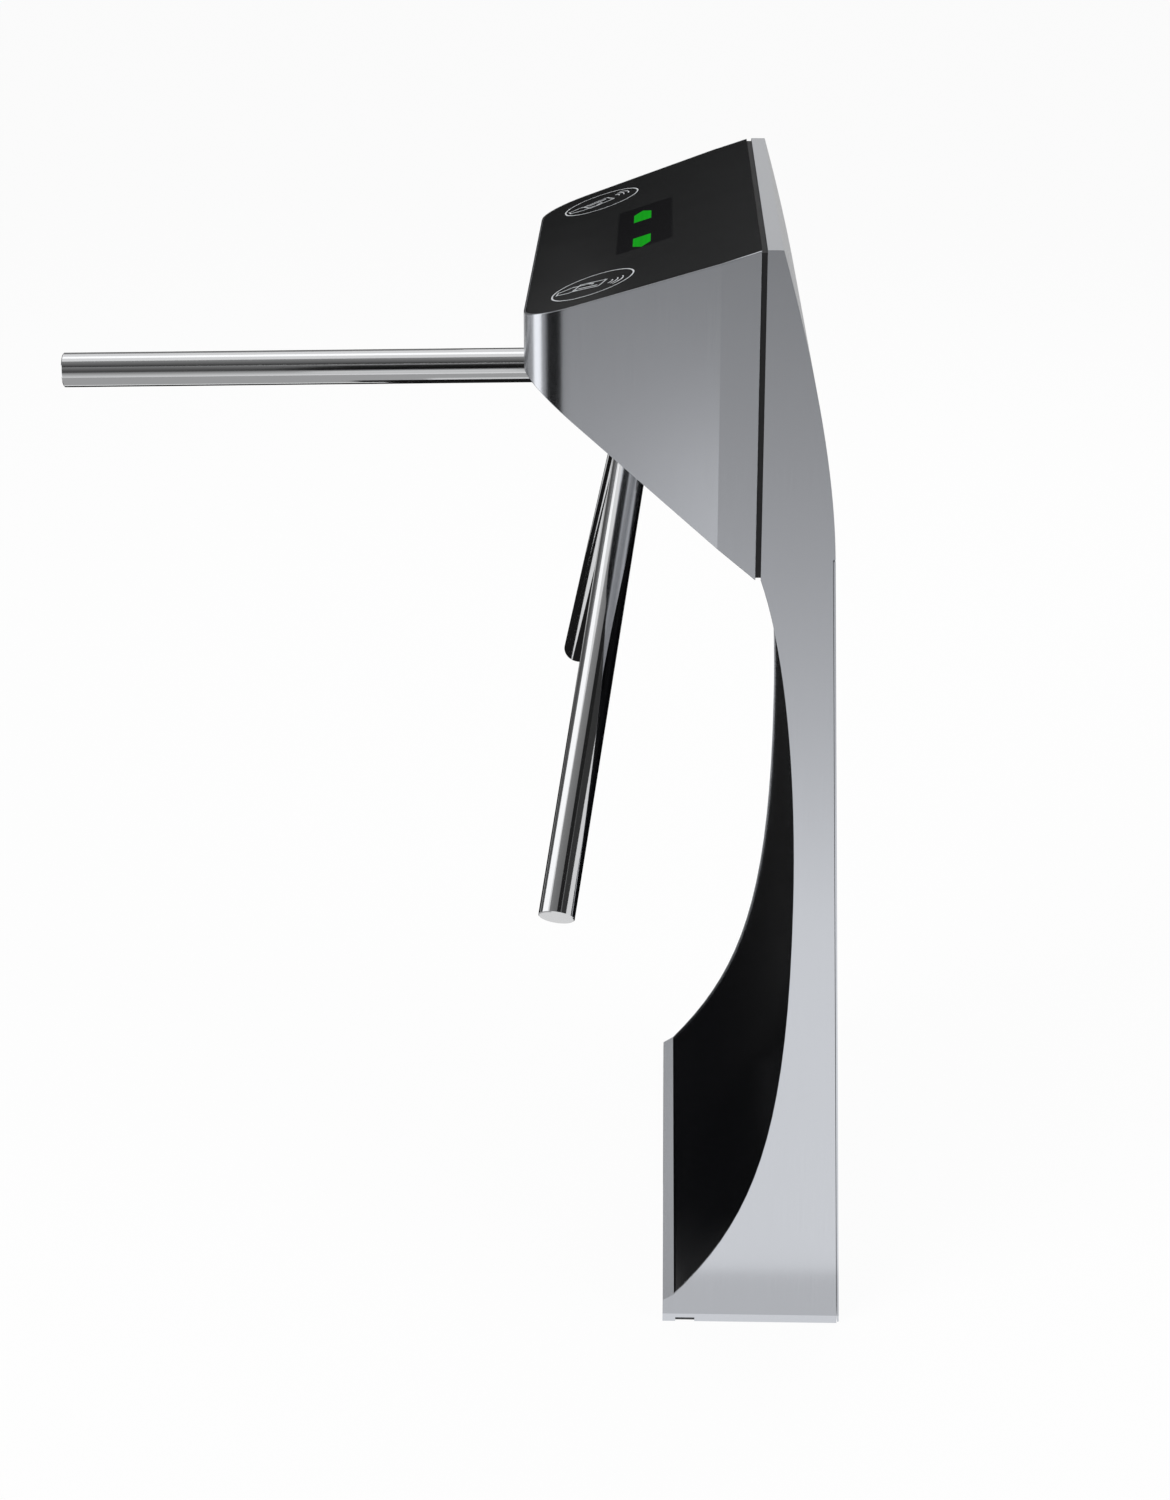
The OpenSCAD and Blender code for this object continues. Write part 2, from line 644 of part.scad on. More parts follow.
bezel_r = 80;
bezel_t = 3;
bezel_inner_r = 64.5;
bezel_mouth_r = bezel_inner_r + bezel_t * tan(arm_angle);
bezel_screw_d = 4;
bezel_count = 6;
bezel_pcd_r = 73.5;
module bezel_places() for (i = [0:bezel_count - 1]) rotate([0, 0, (i + 0.5) * 360 / bezel_count])
    translate([bezel_pcd_r, 0, 0]) children();
module hub_bezel() color([0.06, 0.06, 0.065]) at_hub() difference() {
    translate([0, 0, hub_inset]) rotate_extrude($fn = 96) polygon([
        [bezel_inner_r, 0], [bezel_r, 0], [bezel_r, bezel_t / 2], [bezel_r - bezel_t / 2, bezel_t],
        [bezel_mouth_r, bezel_t]]);
    bezel_places() translate([0, 0, hub_inset - cut])
        cylinder(r = bezel_screw_d / 2 + fit_gap, h = bezel_t + 2 * cut, $fn = 24);
}
bezel_screw_l = 10;
module bezel_screws() color([0.7, 0.7, 0.72]) at_hub() bezel_places()
    translate([0, 0, hub_inset + bezel_t]) cap_screw(bezel_screw_d, bezel_screw_l);

// Mechanism, in the frame of the spin axis

chassis_w = -16;
chassis_low = -94;
chassis_high = 94;
chassis_half = 112;
post_x_low = -76;
post_x_high = 78;
post_side = 92;
post_r = 8;
post_screw_d = 6;
housing_r = 30;
housing_flange_r = 38;
housing_flange_t = 8;
housing_reach = 36;
housing_back = chassis_w - chassis_t - housing_reach;
housing_screw_d = 5;
housing_screw_r = 34;
module chassis_places() for (x = [post_x_low, post_x_high], y = [-post_side, post_side])
    translate([x, y, 0]) children();
module chassis_plate() color([0.32, 0.33, 0.35]) at_hub() difference() {
    translate([chassis_low, -chassis_half, chassis_w - chassis_t])
        cube([chassis_high - chassis_low, 2 * chassis_half, chassis_t]);
    translate([0, 0, chassis_w - chassis_t - cut])
        cylinder(r = housing_r + fit_gap, h = chassis_t + 2 * cut, $fn = 72);
    chassis_places() translate([0, 0, chassis_w - chassis_t - cut])
        cylinder(r = post_screw_d / 2 + fit_gap, h = chassis_t + 2 * cut, $fn = 24);
    housing_places() translate([0, 0, chassis_w - chassis_t - cut])
        cylinder(r = housing_screw_d / 2, h = chassis_t + 2 * cut, $fn = 24);
}
screw_count = 6;
module housing_places() for (i = [0:screw_count - 1]) rotate([0, 0, (i + 0.5) * 360 / screw_count])
    translate([housing_screw_r, 0, 0]) children();
module chassis_posts() color([0.6, 0.6, 0.62]) at_hub() chassis_places() {
    difference() {
        translate([0, 0, chassis_w]) cylinder(r = post_r, h = hub_inset - head_t - chassis_w, $fn = 36);
        for (w = [hub_inset - head_t - post_thread, chassis_w - cut]) translate([0, 0, w])
            cylinder(r = post_screw_d / 2 + run_gap, h = post_thread + cut, $fn = 24);
    }
    translate([0, 0, hub_inset]) cap_screw(post_screw_d, post_thread);
    translate([0, 0, chassis_w - chassis_t]) rotate([180, 0, 0])
        cap_screw(post_screw_d, chassis_t + post_thread / 2);
}
post_thread = 14;

bearing_r = bearing_od / 2;
front_bearing_w = chassis_w - bearing_w;
bearing_in = 2;
rear_bearing_w = housing_back + bearing_in;
shaft_r = bearing_bore / 2 - run_gap / 2;
housing_bore_r = 20;
module bearing_housing() color([0.45, 0.46, 0.48]) at_hub() difference() {
    union() {
        translate([0, 0, housing_back]) cylinder(r = housing_r, h = chassis_w - housing_back, $fn = 72);
        translate([0, 0, chassis_w - chassis_t - housing_flange_t])
            cylinder(r = housing_flange_r, h = housing_flange_t, $fn = 72);
    }
    translate([0, 0, housing_back - cut])
        cylinder(r = housing_bore_r, h = chassis_w - housing_back + 2 * cut, $fn = 72);
    translate([0, 0, front_bearing_w]) cylinder(r = bearing_r + fine_gap, h = bearing_w + cut, $fn = 72);
    translate([0, 0, housing_back - cut])
        cylinder(r = bearing_r + fine_gap, h = rear_bearing_w + bearing_w - housing_back + cut, $fn = 72);
    housing_places() translate([0, 0, chassis_w - chassis_t - housing_flange_t - cut])
        cylinder(r = housing_screw_d / 2 + run_gap, h = housing_flange_t + 2 * cut, $fn = 24);
}
fine_gap = 0.02;
module housing_screws() color([0.55, 0.55, 0.57]) at_hub() housing_places()
    translate([0, 0, chassis_w - chassis_t - housing_flange_t]) rotate([180, 0, 0])
        cap_screw(housing_screw_d - 2 * run_gap, housing_flange_t + chassis_t - cut);
race_t = 3.2;
race_groove_r = 2.6;
// A ball bearing: both races and the shields between them as one ring with a groove on each face
module bearing(w) color([0.78, 0.79, 0.8]) at_hub() translate([0, 0, w]) rotate_extrude($fn = 72) polygon([
    [bearing_bore / 2, 0], [bearing_bore / 2 + race_t, 0], [bearing_bore / 2 + race_t, shield_in],
    [bearing_r - race_t, shield_in], [bearing_r - race_t, 0], [bearing_r, 0], [bearing_r, bearing_w],
    [bearing_r - race_t, bearing_w], [bearing_r - race_t, bearing_w - shield_in],
    [bearing_bore / 2 + race_t, bearing_w - shield_in], [bearing_bore / 2 + race_t, bearing_w],
    [bearing_bore / 2, bearing_w]]);
shield_in = 0.6;
module ball_bearings() {
    bearing(front_bearing_w);
    bearing(rear_bearing_w);
}

hub_back = -2;
shaft_flange_t = 8;
shaft_flange_r = 40;
gear_gap = 2;
gear_w = housing_back - gear_gap - gear_t;
index_w = gear_w - gear_gap - index_t;
nut_t = 9;
nut_gap = 1;
nut_w = index_w - nut_gap - nut_t;
shaft_show = 3;
shaft_end = nut_w - shaft_show;
hub_screw_d = 6;
hub_screw_r = 30;
hub_screw_l = 18;
module hub_screw_places() for (i = [0:screw_count - 1]) rotate([0, 0, (i + 0.5) * 360 / screw_count])
    translate([hub_screw_r, 0, 0]) children();
module main_shaft() color([0.7, 0.71, 0.73]) at_hub() difference() {
    union() {
        translate([0, 0, hub_back - shaft_flange_t])
            cylinder(r = shaft_flange_r, h = shaft_flange_t, $fn = 72);
        translate([0, 0, shaft_end])
            cylinder(r = shaft_r, h = hub_back - shaft_end - shaft_flange_t / 2, $fn = 48);
    }
    hub_screw_places() translate([0, 0, hub_back - shaft_flange_t - cut])
        cylinder(r = hub_screw_d / 2 + run_gap, h = shaft_flange_t + 2 * cut, $fn = 24);
}
module hub_screws() color([0.55, 0.55, 0.57]) at_hub() hub_screw_places()
    translate([0, 0, hub_back - shaft_flange_t]) rotate([180, 0, 0]) low_screw(hub_screw_d, hub_screw_l);
module low_screw(d, l) difference() {
    union() {
        cylinder(r = d * head_share / 2, h = d / 2, $fn = 32);
        translate([0, 0, -l]) cylinder(r = d / 2, h = l, $fn = 32);
    }
    translate([0, 0, d / 4]) cylinder(r = d * socket_share / 2, h = d, $fn = 6);
}
spacer_wall = 3;
module bearing_spacer() color([0.65, 0.66, 0.68]) at_hub()
    translate([0, 0, rear_bearing_w + bearing_w + run_gap])
        ring(shaft_r + run_gap + spacer_wall, shaft_r + run_gap,
            front_bearing_w - rear_bearing_w - bearing_w - 2 * run_gap);

// Hub: its outer cone is square to the arms
hub_face_s = 62;
hub_front_r = 30;
hub_rim_w = 6;
cone_mid_r = hub_face_s * sin(arm_angle);
cone_mid_w = hub_face_s * cos(arm_angle);
hub_front_w = cone_mid_w + (cone_mid_r - hub_front_r) * tan(arm_angle);
hub_shoulder_w = cone_mid_w - (hub_r - cone_mid_r) * tan(arm_angle);
pocket_r = 24;
pocket_w = 9;
socket_s = 40;
arm_r = arm_d / 2;
arm_turns = [0, -120, 120];
module hub() color([0.60, 0.61, 0.63]) difference() {
    at_hub() rotate_extrude($fn = 96) polygon([[0, hub_back], [hub_r - hub_edge, hub_back],
        [hub_r, hub_back + hub_edge], [hub_r, hub_shoulder_w], [hub_front_r, hub_front_w], [0, hub_front_w]]);
    at_hub() translate([0, 0, pocket_w]) cylinder(r = pocket_r, h = hub_front_w, $fn = 64);
    for (turn = arm_turns) at_arm(turn) {
        translate([0, 0, socket_s]) cylinder(r = arm_r + run_gap, h = hub_r, $fn = 64);
        translate([0, 0, pocket_r / 2]) cylinder(r = arm_bolt_d / 2 + fit_gap, h = hub_r, $fn = 24);
        translate([0, 0, pocket_r / 2]) cylinder(r = arm_bolt_d, h = arm_bolt_s - pocket_r / 2, $fn = 32);
    }
    at_hub() hub_screw_places() translate([0, 0, hub_back - cut])
        cylinder(r = hub_screw_d / 2, h = hub_screw_l - shaft_flange_t + 2 * cut, $fn = 32);
}
hub_edge = 2;
arm_bolt_d = 8;
arm_bolt_s = 33;
cap_t = 3;
cap_plug_h = 6;
cap_edge_share = 0.7;
cap_flat_share = 0.6;
module hub_cap() color([0.09, 0.09, 0.10]) at_hub() {
    translate([0, 0, hub_front_w]) rotate_extrude($fn = 72) polygon([
        [0, 0], [hub_front_r, 0], [hub_front_r - cap_t / 2, cap_t * cap_edge_share],
        [hub_front_r * cap_flat_share, cap_t], [0, cap_t]]);
    translate([0, 0, hub_front_w - cap_plug_h]) cylinder(r = pocket_r - fine_gap, h = cap_plug_h, $fn = 64);
}

arm_cap_t = 2;
plug_l = 40;
module arm_tube(turn) color([0.66, 0.67, 0.69]) at_arm(turn) translate([0, 0, socket_s])
    ring(arm_r, arm_r - arm_wall, arm_reach - socket_s - arm_cap_t);
module arm_top() arm_tube(arm_turns[0]);
module arm_near() arm_tube(arm_turns[1]);
module arm_far() arm_tube(arm_turns[2]);
module arm_plugs() color([0.5, 0.51, 0.53]) for (turn = arm_turns) at_arm(turn) translate([0, 0, socket_s])
    ring(arm_r - arm_wall, arm_bolt_d / 2 + run_gap, plug_l);
arm_bolt_l = 32;
module arm_bolts() color([0.5, 0.5, 0.52]) for (turn = arm_turns) at_arm(turn)
    translate([0, 0, arm_bolt_s]) rotate([180, 0, 0]) cap_screw(arm_bolt_d, arm_bolt_l);
cap_spigot = 12;
cap_round = 0.8;
module arm_caps() color([0.75, 0.76, 0.78]) for (turn = arm_turns) at_arm(turn)
    translate([0, 0, arm_reach - arm_cap_t]) rotate_extrude($fn = 72) polygon([
        [0, -cap_spigot], [arm_r - arm_wall, -cap_spigot], [arm_r - arm_wall, 0], [arm_r, 0],
        [arm_r, arm_cap_t - cap_round], [arm_r - cap_round, arm_cap_t], [0, arm_cap_t]]);

// Gears with involute flanks
pressure_angle = 20;
backlash = 0.16;
flank_steps = 4;
function inv(r, base) = let (c = base / r) tan(acos(c)) * 180 / PI - acos(c);
// Half the angle that a tooth covers at radius r
function tooth_half(r, pitch, base, teeth) =
    90 / teeth - backlash / 2 / pitch * 180 / PI + inv(pitch, base) - inv(max(r, base), base);
function gear_points(teeth) = let (
    pitch = tooth_module * teeth / 2, base = pitch * cos(pressure_angle),
    root = pitch - root_share * tooth_module, tip = pitch + tip_share * tooth_module, low = max(root, base))
    [for (i = [0:teeth - 1]) each concat(
        [let (a = i * 360 / teeth - tooth_half(low, pitch, base, teeth)) root * [cos(a), sin(a)]],
        [for (k = [0:flank_steps]) let (r = low + (tip - low) * k / flank_steps,
            a = i * 360 / teeth - tooth_half(r, pitch, base, teeth)) r * [cos(a), sin(a)]],
        [for (k = [flank_steps:-1:0]) let (r = low + (tip - low) * k / flank_steps,
            a = i * 360 / teeth + tooth_half(r, pitch, base, teeth)) r * [cos(a), sin(a)]],
        [let (a = i * 360 / teeth + tooth_half(low, pitch, base, teeth)) root * [cos(a), sin(a)]])];
root_share = 1.25;
tip_share = 0.95;
gear_pitch_r = tooth_module * gear_teeth / 2;
pinion_pitch_r = tooth_module * pinion_teeth / 2;
gear_centres = gear_pitch_r + pinion_pitch_r;
lightening_r = 7;
lightening_at = 29;
module drive_gear() color([0.62, 0.56, 0.36]) at_hub() translate([0, 0, gear_w]) difference() {
    linear_extrude(gear_t) rotate(90) polygon(gear_points(gear_teeth));
    translate([0, 0, -cut]) cylinder(r = shaft_r + fine_gap, h = gear_t + 2 * cut, $fn = 48);
    for (i = [0:screw_count - 1]) rotate([0, 0, i * 360 / screw_count]) translate([lightening_at, 0, -cut])
        cylinder(r = lightening_r, h = gear_t + 2 * cut, $fn = 36);
}
motor_r = 20;
motor_l = 30;
motor_shaft_r = 4;
pinion_extra = 2;
module motor_place() at_hub() translate([0, gear_centres, 0]) children();
module drive_motor() color([0.15, 0.15, 0.16]) motor_place() difference() {
    union() {
        translate([0, 0, chassis_w - chassis_t - motor_l]) cylinder(r = motor_r, h = motor_l, $fn = 64);
        translate([0, 0, chassis_w - chassis_t - motor_l - boss_h])
            cylinder(r = motor_r / 2, h = boss_h, $fn = 48);
    }
    translate([0, 0, chassis_w - chassis_t - motor_l - boss_h - cut])
        cylinder(r = motor_shaft_r + run_gap, h = boss_h + motor_l / 2 + cut, $fn = 32);
}
boss_h = 3;
module motor_pinion() color([0.7, 0.71, 0.73]) motor_place() {
    translate([0, 0, gear_w - pinion_extra / 2]) linear_extrude(gear_t + pinion_extra)
        rotate(90) polygon(gear_points(pinion_teeth));
    translate([0, 0, gear_w]) cylinder(r = motor_shaft_r, h = motor_shaft_top - gear_w, $fn = 32);
}
motor_shaft_top = chassis_w - chassis_t - motor_l / 2 - boss_h;

// Index disc with a locking notch for each arm's resting place and one half-way between them
notch_count = 6;
notch_w = 26;
notch_deep = 5;
module index_disc() color([0.55, 0.56, 0.58]) at_hub() translate([0, 0, index_w]) difference() {
    cylinder(r = index_r, h = index_t, $fn = 96);
    translate([0, 0, -cut]) cylinder(r = shaft_r + fine_gap, h = index_t + 2 * cut, $fn = 48);
    for (i = [0:notch_count - 1]) rotate([0, 0, (i + 0.5) * 360 / notch_count])
        translate([index_r - notch_deep, -notch_w / 2, -cut])
            cube([notch_deep + cut, notch_w, index_t + 2 * cut]);
    for (i = [0:screw_count - 1]) rotate([0, 0, i * 360 / screw_count]) translate([lightening_at, 0, -cut])
        cylinder(r = lightening_r, h = index_t + 2 * cut, $fn = 36);
}
nut_r = 18;
module shaft_nut() color([0.6, 0.6, 0.62]) at_hub() translate([0, 0, nut_w]) difference() {
    cylinder(r = nut_r, h = nut_t, $fn = 6);
    translate([0, 0, -cut]) cylinder(r = shaft_r + fine_gap, h = nut_t + 2 * cut, $fn = 48);
}

// Locking pawls on the near side, one for each way of turning
pawl_x = 44;
pawl_y = -59;
pawl_pivot_r = 4;
pawl_boss_r = 9;
pawl_nose_r = 3;
pawl_t = 6;
pawl_w = index_w + (index_t - pawl_t) / 2;
pawl_clear = 0.8;
nose_turn = 8;
nose_at = index_r + pawl_nose_r + pawl_clear;
link_x = 20;
link_hole_r = 2.6;
link_pin_r = 2;
nose_x_in = nose_at * sin(nose_turn);
nose_y_in = -nose_at * cos(nose_turn);
neck_share = 0.7;
slim_share = 0.1;
heel_share = 0.8;
module pawl_place(s) at_hub() mirror([s > 0 ? 1 : 0, 0, 0]) children();
link_y = pawl_y + (nose_y_in - pawl_y) * (pawl_x - link_x) / (pawl_x - nose_x_in);
// A lever from its pivot to its nose; the link hole lies below its middle line
module lever_outline() {
    slope = atan2(nose_y_in - pawl_y, pawl_x - nose_x_in);
    reach = norm([pawl_x - nose_x_in, nose_y_in - pawl_y]);
    translate([-pawl_x, pawl_y]) rotate(slope) {
        circle(r = pawl_boss_r, $fn = 48);
        translate([reach, 0]) circle(r = pawl_nose_r, $fn = 32);
        polygon([
            [pawl_nose_r, -pawl_boss_r * heel_share],
            [pawl_x - link_x + pawl_boss_r, -pawl_boss_r * heel_share],
            [reach, -pawl_nose_r * heel_share], [reach, pawl_nose_r * slim_share],
            [reach * neck_share, pawl_nose_r], [pawl_nose_r, pawl_nose_r]]);
    }
}
module lever() linear_extrude(pawl_t) difference() {
    lever_outline();
    translate([-pawl_x, pawl_y]) circle(r = pawl_pivot_r + run_gap, $fn = 36);
    translate([-link_x, link_y - link_hole_r]) circle(r = link_hole_r, $fn = 32);
}
module pawl_lower() color([0.5, 0.5, 0.53]) pawl_place(-1) translate([0, 0, pawl_w]) lever();
module pawl_upper() color([0.5, 0.5, 0.53]) pawl_place(1) translate([0, 0, pawl_w]) lever();
pawl_head_h = 2;
module pawl_posts() color([0.6, 0.6, 0.62]) for (s = [-1, 1]) pawl_place(s) translate([-pawl_x, pawl_y, 0]) {
    translate([0, 0, pawl_w - pawl_head_h])
        cylinder(r = pawl_pivot_r, h = chassis_w - chassis_t - pawl_w + pawl_head_h, $fn = 36);
    translate([0, 0, pawl_w + pawl_t + fit_gap])
        cylinder(r = pawl_boss_r - cut, h = chassis_w - chassis_t - pawl_w - pawl_t - fit_gap, $fn = 36);
    translate([0, 0, pawl_w - fit_gap - pawl_head_h])
        cylinder(r = pawl_pivot_r + pawl_head_h, h = pawl_head_h, $fn = 36);
}

// Solenoids that pull the pawls clear of the index disc
coil_w = 34;
coil_l = 50;
coil_h = 26;
coil_y = -86;
plunger_r = 6;
plunger_back = 30;
fork_w = 12;
fork_arm = 2.5;
fork_y = link_y - link_hole_r;
solenoid_w = pawl_w + pawl_t / 2;
coil_wall = 2;
module solenoids() color([0.16, 0.16, 0.17]) for (s = [-1, 1]) pawl_place(s) difference() {
    union() {
        translate([-link_x - coil_w / 2, coil_y - coil_l, solenoid_w - coil_h / 2])
            cube([coil_w, coil_l, coil_h]);
        // Foot that carries the coil on the chassis plate
        translate([-link_x - coil_w / 2, coil_y - foot_l, solenoid_w + coil_h / 2])
            cube([coil_w, foot_l, chassis_w - chassis_t - solenoid_w - coil_h / 2]);
    }
    translate([-link_x, coil_y + cut, solenoid_w]) rotate([90, 0, 0])
        cylinder(r = plunger_r + fit_gap, h = plunger_back + 2 * cut + plunger_travel, $fn = 40);
}
foot_l = 24;
plunger_travel = 2.6;
module plunger(s) color([0.72, 0.73, 0.75]) pawl_place(s) {
    translate([-link_x, coil_y + fork_stand, solenoid_w]) rotate([90, 0, 0])
        cylinder(r = plunger_r, h = plunger_back + fork_stand, $fn = 40);
    difference() {
        translate([-link_x - fork_w / 2, coil_y + fork_stand, solenoid_w - pawl_t / 2 - fork_arm - seal_gap])
            cube([fork_w, fork_y - coil_y - fork_stand + link_hole_r + fork_arm,
                pawl_t + 2 * fork_arm + 2 * seal_gap]);
        translate([-link_x - fork_w / 2 - cut, coil_y + fork_stand + fork_base,
            solenoid_w - pawl_t / 2 - seal_gap])
            cube([fork_w + 2 * cut, fork_y - coil_y, pawl_t + 2 * seal_gap]);
    }
    translate([-link_x, fork_y, solenoid_w - pawl_t / 2 - fork_arm - seal_gap])
        cylinder(r = link_pin_r, h = pawl_t + 2 * fork_arm + 2 * seal_gap, $fn = 28);
}
fork_stand = 4;
fork_base = 5;
module plunger_lower() plunger(-1);
module plunger_upper() plunger(1);

// Electronics in the pedestal

loom_r = 4;
loom_slim_r = 3.8;
loom_in = 0.4;
loom_x = waist_x + loom_in;
loom_out = 11.7;
loom_bend = loom_x - neck_x - loom_out;
loom_lean = 2.6;
junction_stand = 8;
standoff_h = 5;
standoff_r = 3;
chip_h = 9;

panel_t = 1.5;
panel_low = 150;
panel_x = post_x - post_w / 2;
module equipment_panel() color([0.5, 0.51, 0.53])
    translate([panel_x, -post_y + post_d / 2, panel_low])
        cube([panel_t, 2 * post_y - post_d, gusset_low - panel_low]);
control_l = 180;
control_h = 120;
control_drop = 220;
control_low = gusset_low - control_drop;
chip_shares = [-0.35, -0.1, 0.2];
loom_drop = (neck_hole_z - loom_bend - control_low - control_h - run_gap) / cos(loom_lean)
    - loom_r * tan(loom_lean);
control_y = 20;
socket_w = 16;
socket_h = 12;
module control_board() color([0.06, 0.28, 0.14]) translate([panel_x + panel_t, control_y, control_low]) {
    translate([standoff_h, -control_l / 2, 0]) cube([board_t, control_l, control_h]);
    for (y = [-1, 1] * (control_l / 2 - 2 * standoff_r), z = [2 * standoff_r, control_h - 2 * standoff_r])
        translate([0, y, z]) rotate([0, 90, 0]) cylinder(r = standoff_r, h = standoff_h, $fn = 24);
    for (y = chip_shares * control_l)
        translate([standoff_h + board_t, y, control_h / 3]) cube([chip_h, control_l / 8, control_h / 4]);
    // Socket for the loom, at the board's upper edge
    translate([standoff_h + board_t, neck_hole_y - control_y - socket_w / 2, control_h - socket_h])
        cube([socket_h, socket_w, socket_h]);
}
supply_x = 50;
supply_y = 160;
supply_z = 62;
supply_end = 60;
supply_low_y = half_d - supply_end - supply_y;
module power_supply() color([0.75, 0.76, 0.77]) difference() {
    translate([-supply_x / 2, supply_low_y, base_t]) cube([supply_x, supply_y, supply_z]);
    for (i = [1:vent_count])
        translate([-supply_x / 4, supply_low_y + i * supply_y / (vent_count + 1),
            base_t + supply_z - vent_deep])
            cube([supply_x / 2, vent_w, vent_deep + cut]);
}
vent_count = 8;
vent_deep = 2;
vent_w = 5;
rail_l = 110;
rail_w = 35;
rail_h = 7;
block_l = 10;
block_count = 8;
block_h = 38;
block_share = 0.75;
terminal_end = 80;
terminal_y = terminal_end - half_d;
module terminal_block() color([0.55, 0.57, 0.58]) translate([-rail_w / 2, terminal_y, base_t]) {
    cube([rail_w, rail_l, rail_h]);
    for (i = [0:block_count - 1])
        translate([rail_w * (1 - block_share) / 2, (i + 1) * block_l, rail_h / 2])
            cube([rail_w * block_share, block_l - seal_gap, block_h]);
}

// Grommet through the neck, from the head's back plate to the bracket in the pedestal
grommet_flange = 3;
grommet_lip = 2;
grommet_l = back_t + head_gap + sheet_t + neck_plate_t;
module cable_grommet() color([0.04, 0.04, 0.04]) translate([head_x - back_t, neck_hole_y, neck_hole_z])
    rotate([0, 90, 0]) difference() {
        union() {
            cylinder(r = neck_hole_r - fine_gap, h = grommet_l, $fn = 48);
            for (w = [-grommet_lip, grommet_l]) translate([0, 0, w])
                cylinder(r = neck_hole_r + grommet_flange, h = grommet_lip, $fn = 48);
        }
        translate([0, 0, -grommet_lip - cut])
            cylinder(r = loom_r + run_gap, h = grommet_l + 2 * grommet_lip + 2 * cut, $fn = 24);
    }

// Junction board on the head's back plate, where the loom ends
junction_l = 92;
junction_h = 56;
junction_x = head_x - back_t - junction_stand;
junction_y = 108;
plug_w = 18;
plug_h = 14;
plug_t = 4;
module junction_board() color([0.06, 0.28, 0.14]) translate([junction_x, junction_y, neck_hole_z]) {
    translate([-board_t, -junction_l / 2, -junction_h / 2]) cube([board_t, junction_l, junction_h]);
    translate([0, neck_hole_y - junction_y - plug_w / 2, -plug_h / 2])
        cube([plug_t, plug_w, plug_h]);
    translate([-board_t - chip_h, -junction_l / 3, -junction_h / 4])
        cube([chip_h, junction_l / 2, junction_h / 4]);
    for (y = [-1, 1] * (junction_l / 2 - 2 * standoff_r), z = [-1, 1] * (junction_h / 2 - 2 * standoff_r))
        translate([0, y, z]) rotate([0, 90, 0]) cylinder(r = standoff_r, h = junction_stand, $fn = 24);
}

// Wiring from the control board, up the pedestal and through the neck to the junction board
module wiring_loom() color([0.05, 0.05, 0.05]) translate([0, neck_hole_y, 0]) {
    translate([loom_x - loom_bend, 0, neck_hole_z - loom_bend]) rotate([90, 0, 0]) rotate([0, 0, loom_lean])
        rotate_extrude(angle = 90 - loom_lean, $fn = 48) translate([loom_bend, 0])
            circle(r = loom_slim_r, $fn = 24);
    translate([loom_x - loom_bend, 0, neck_hole_z - loom_bend]) rotate([0, -loom_lean, 0])
        translate([loom_bend, 0, -loom_drop]) cylinder(r = loom_r, h = loom_drop + cut, $fn = 24);
    translate([junction_x + plug_t, 0, neck_hole_z]) rotate([0, 90, 0])
        cylinder(r = loom_r, h = loom_x - loom_bend - junction_x - plug_t + cut, $fn = 24);
}

pedestal_shell();
scoop_panel();
base_plate();
frame_posts();
neck_bracket();
neck_gasket();
service_door();
hinge_leaves_fixed();
hinge_leaves_door();
hinge_pins();
lock_body();
lock_cam();
head_shell();
head_back_plate();
head_bolts();
plate_foam();
top_plate();
display_window();
arrow_lens_far();
arrow_lens_near();
reader_rings();
reader_modules();
display_board();
hub_bezel();
bezel_screws();
chassis_plate();
chassis_posts();
bearing_housing();
housing_screws();
ball_bearings();
drive_motor();
motor_pinion();
main_shaft();
bearing_spacer();
hub();
hub_cap();
hub_screws();
arm_top();
arm_near();
arm_far();
arm_plugs();
arm_bolts();
arm_caps();
drive_gear();
index_disc();
shaft_nut();
pawl_posts();
pawl_lower();
pawl_upper();
solenoids();
plunger_lower();
plunger_upper();
equipment_panel();
control_board();
power_supply();
terminal_block();
cable_grommet();
junction_board();
wiring_loom();
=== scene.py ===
import bpy
import bmesh
import json
import math
from mathutils import Matrix, Vector

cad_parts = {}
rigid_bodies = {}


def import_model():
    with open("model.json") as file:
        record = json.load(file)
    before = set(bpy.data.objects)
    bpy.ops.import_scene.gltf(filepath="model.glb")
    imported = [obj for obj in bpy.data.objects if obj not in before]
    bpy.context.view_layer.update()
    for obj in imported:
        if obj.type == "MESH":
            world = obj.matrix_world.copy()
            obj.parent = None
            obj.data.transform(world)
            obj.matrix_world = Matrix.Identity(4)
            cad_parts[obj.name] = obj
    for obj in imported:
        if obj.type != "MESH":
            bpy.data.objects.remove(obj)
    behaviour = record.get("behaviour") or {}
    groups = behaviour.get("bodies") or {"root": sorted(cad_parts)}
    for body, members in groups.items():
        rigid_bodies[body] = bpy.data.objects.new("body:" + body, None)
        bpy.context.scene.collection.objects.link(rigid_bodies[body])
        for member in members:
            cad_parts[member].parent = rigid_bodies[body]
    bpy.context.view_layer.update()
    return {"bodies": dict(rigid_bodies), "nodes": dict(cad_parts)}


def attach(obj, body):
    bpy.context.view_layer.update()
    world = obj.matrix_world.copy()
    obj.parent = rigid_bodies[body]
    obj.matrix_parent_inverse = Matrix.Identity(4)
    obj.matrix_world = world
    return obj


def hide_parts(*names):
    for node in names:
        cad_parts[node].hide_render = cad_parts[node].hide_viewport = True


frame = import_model()
nodes = frame["nodes"]

# Lengths are in metres, and angles in degrees, unless a line says otherwise
MM = 0.001
MERGE_GAP = 0.00001
FLAT_ANGLE = 0.3
SHARP_ANGLE = 35.0
CRISP_FOLD = 7.0
EDGE_STEPS = 2
POST_SIDES = 24
FULL_WEIGHT = 100


# Shader groups

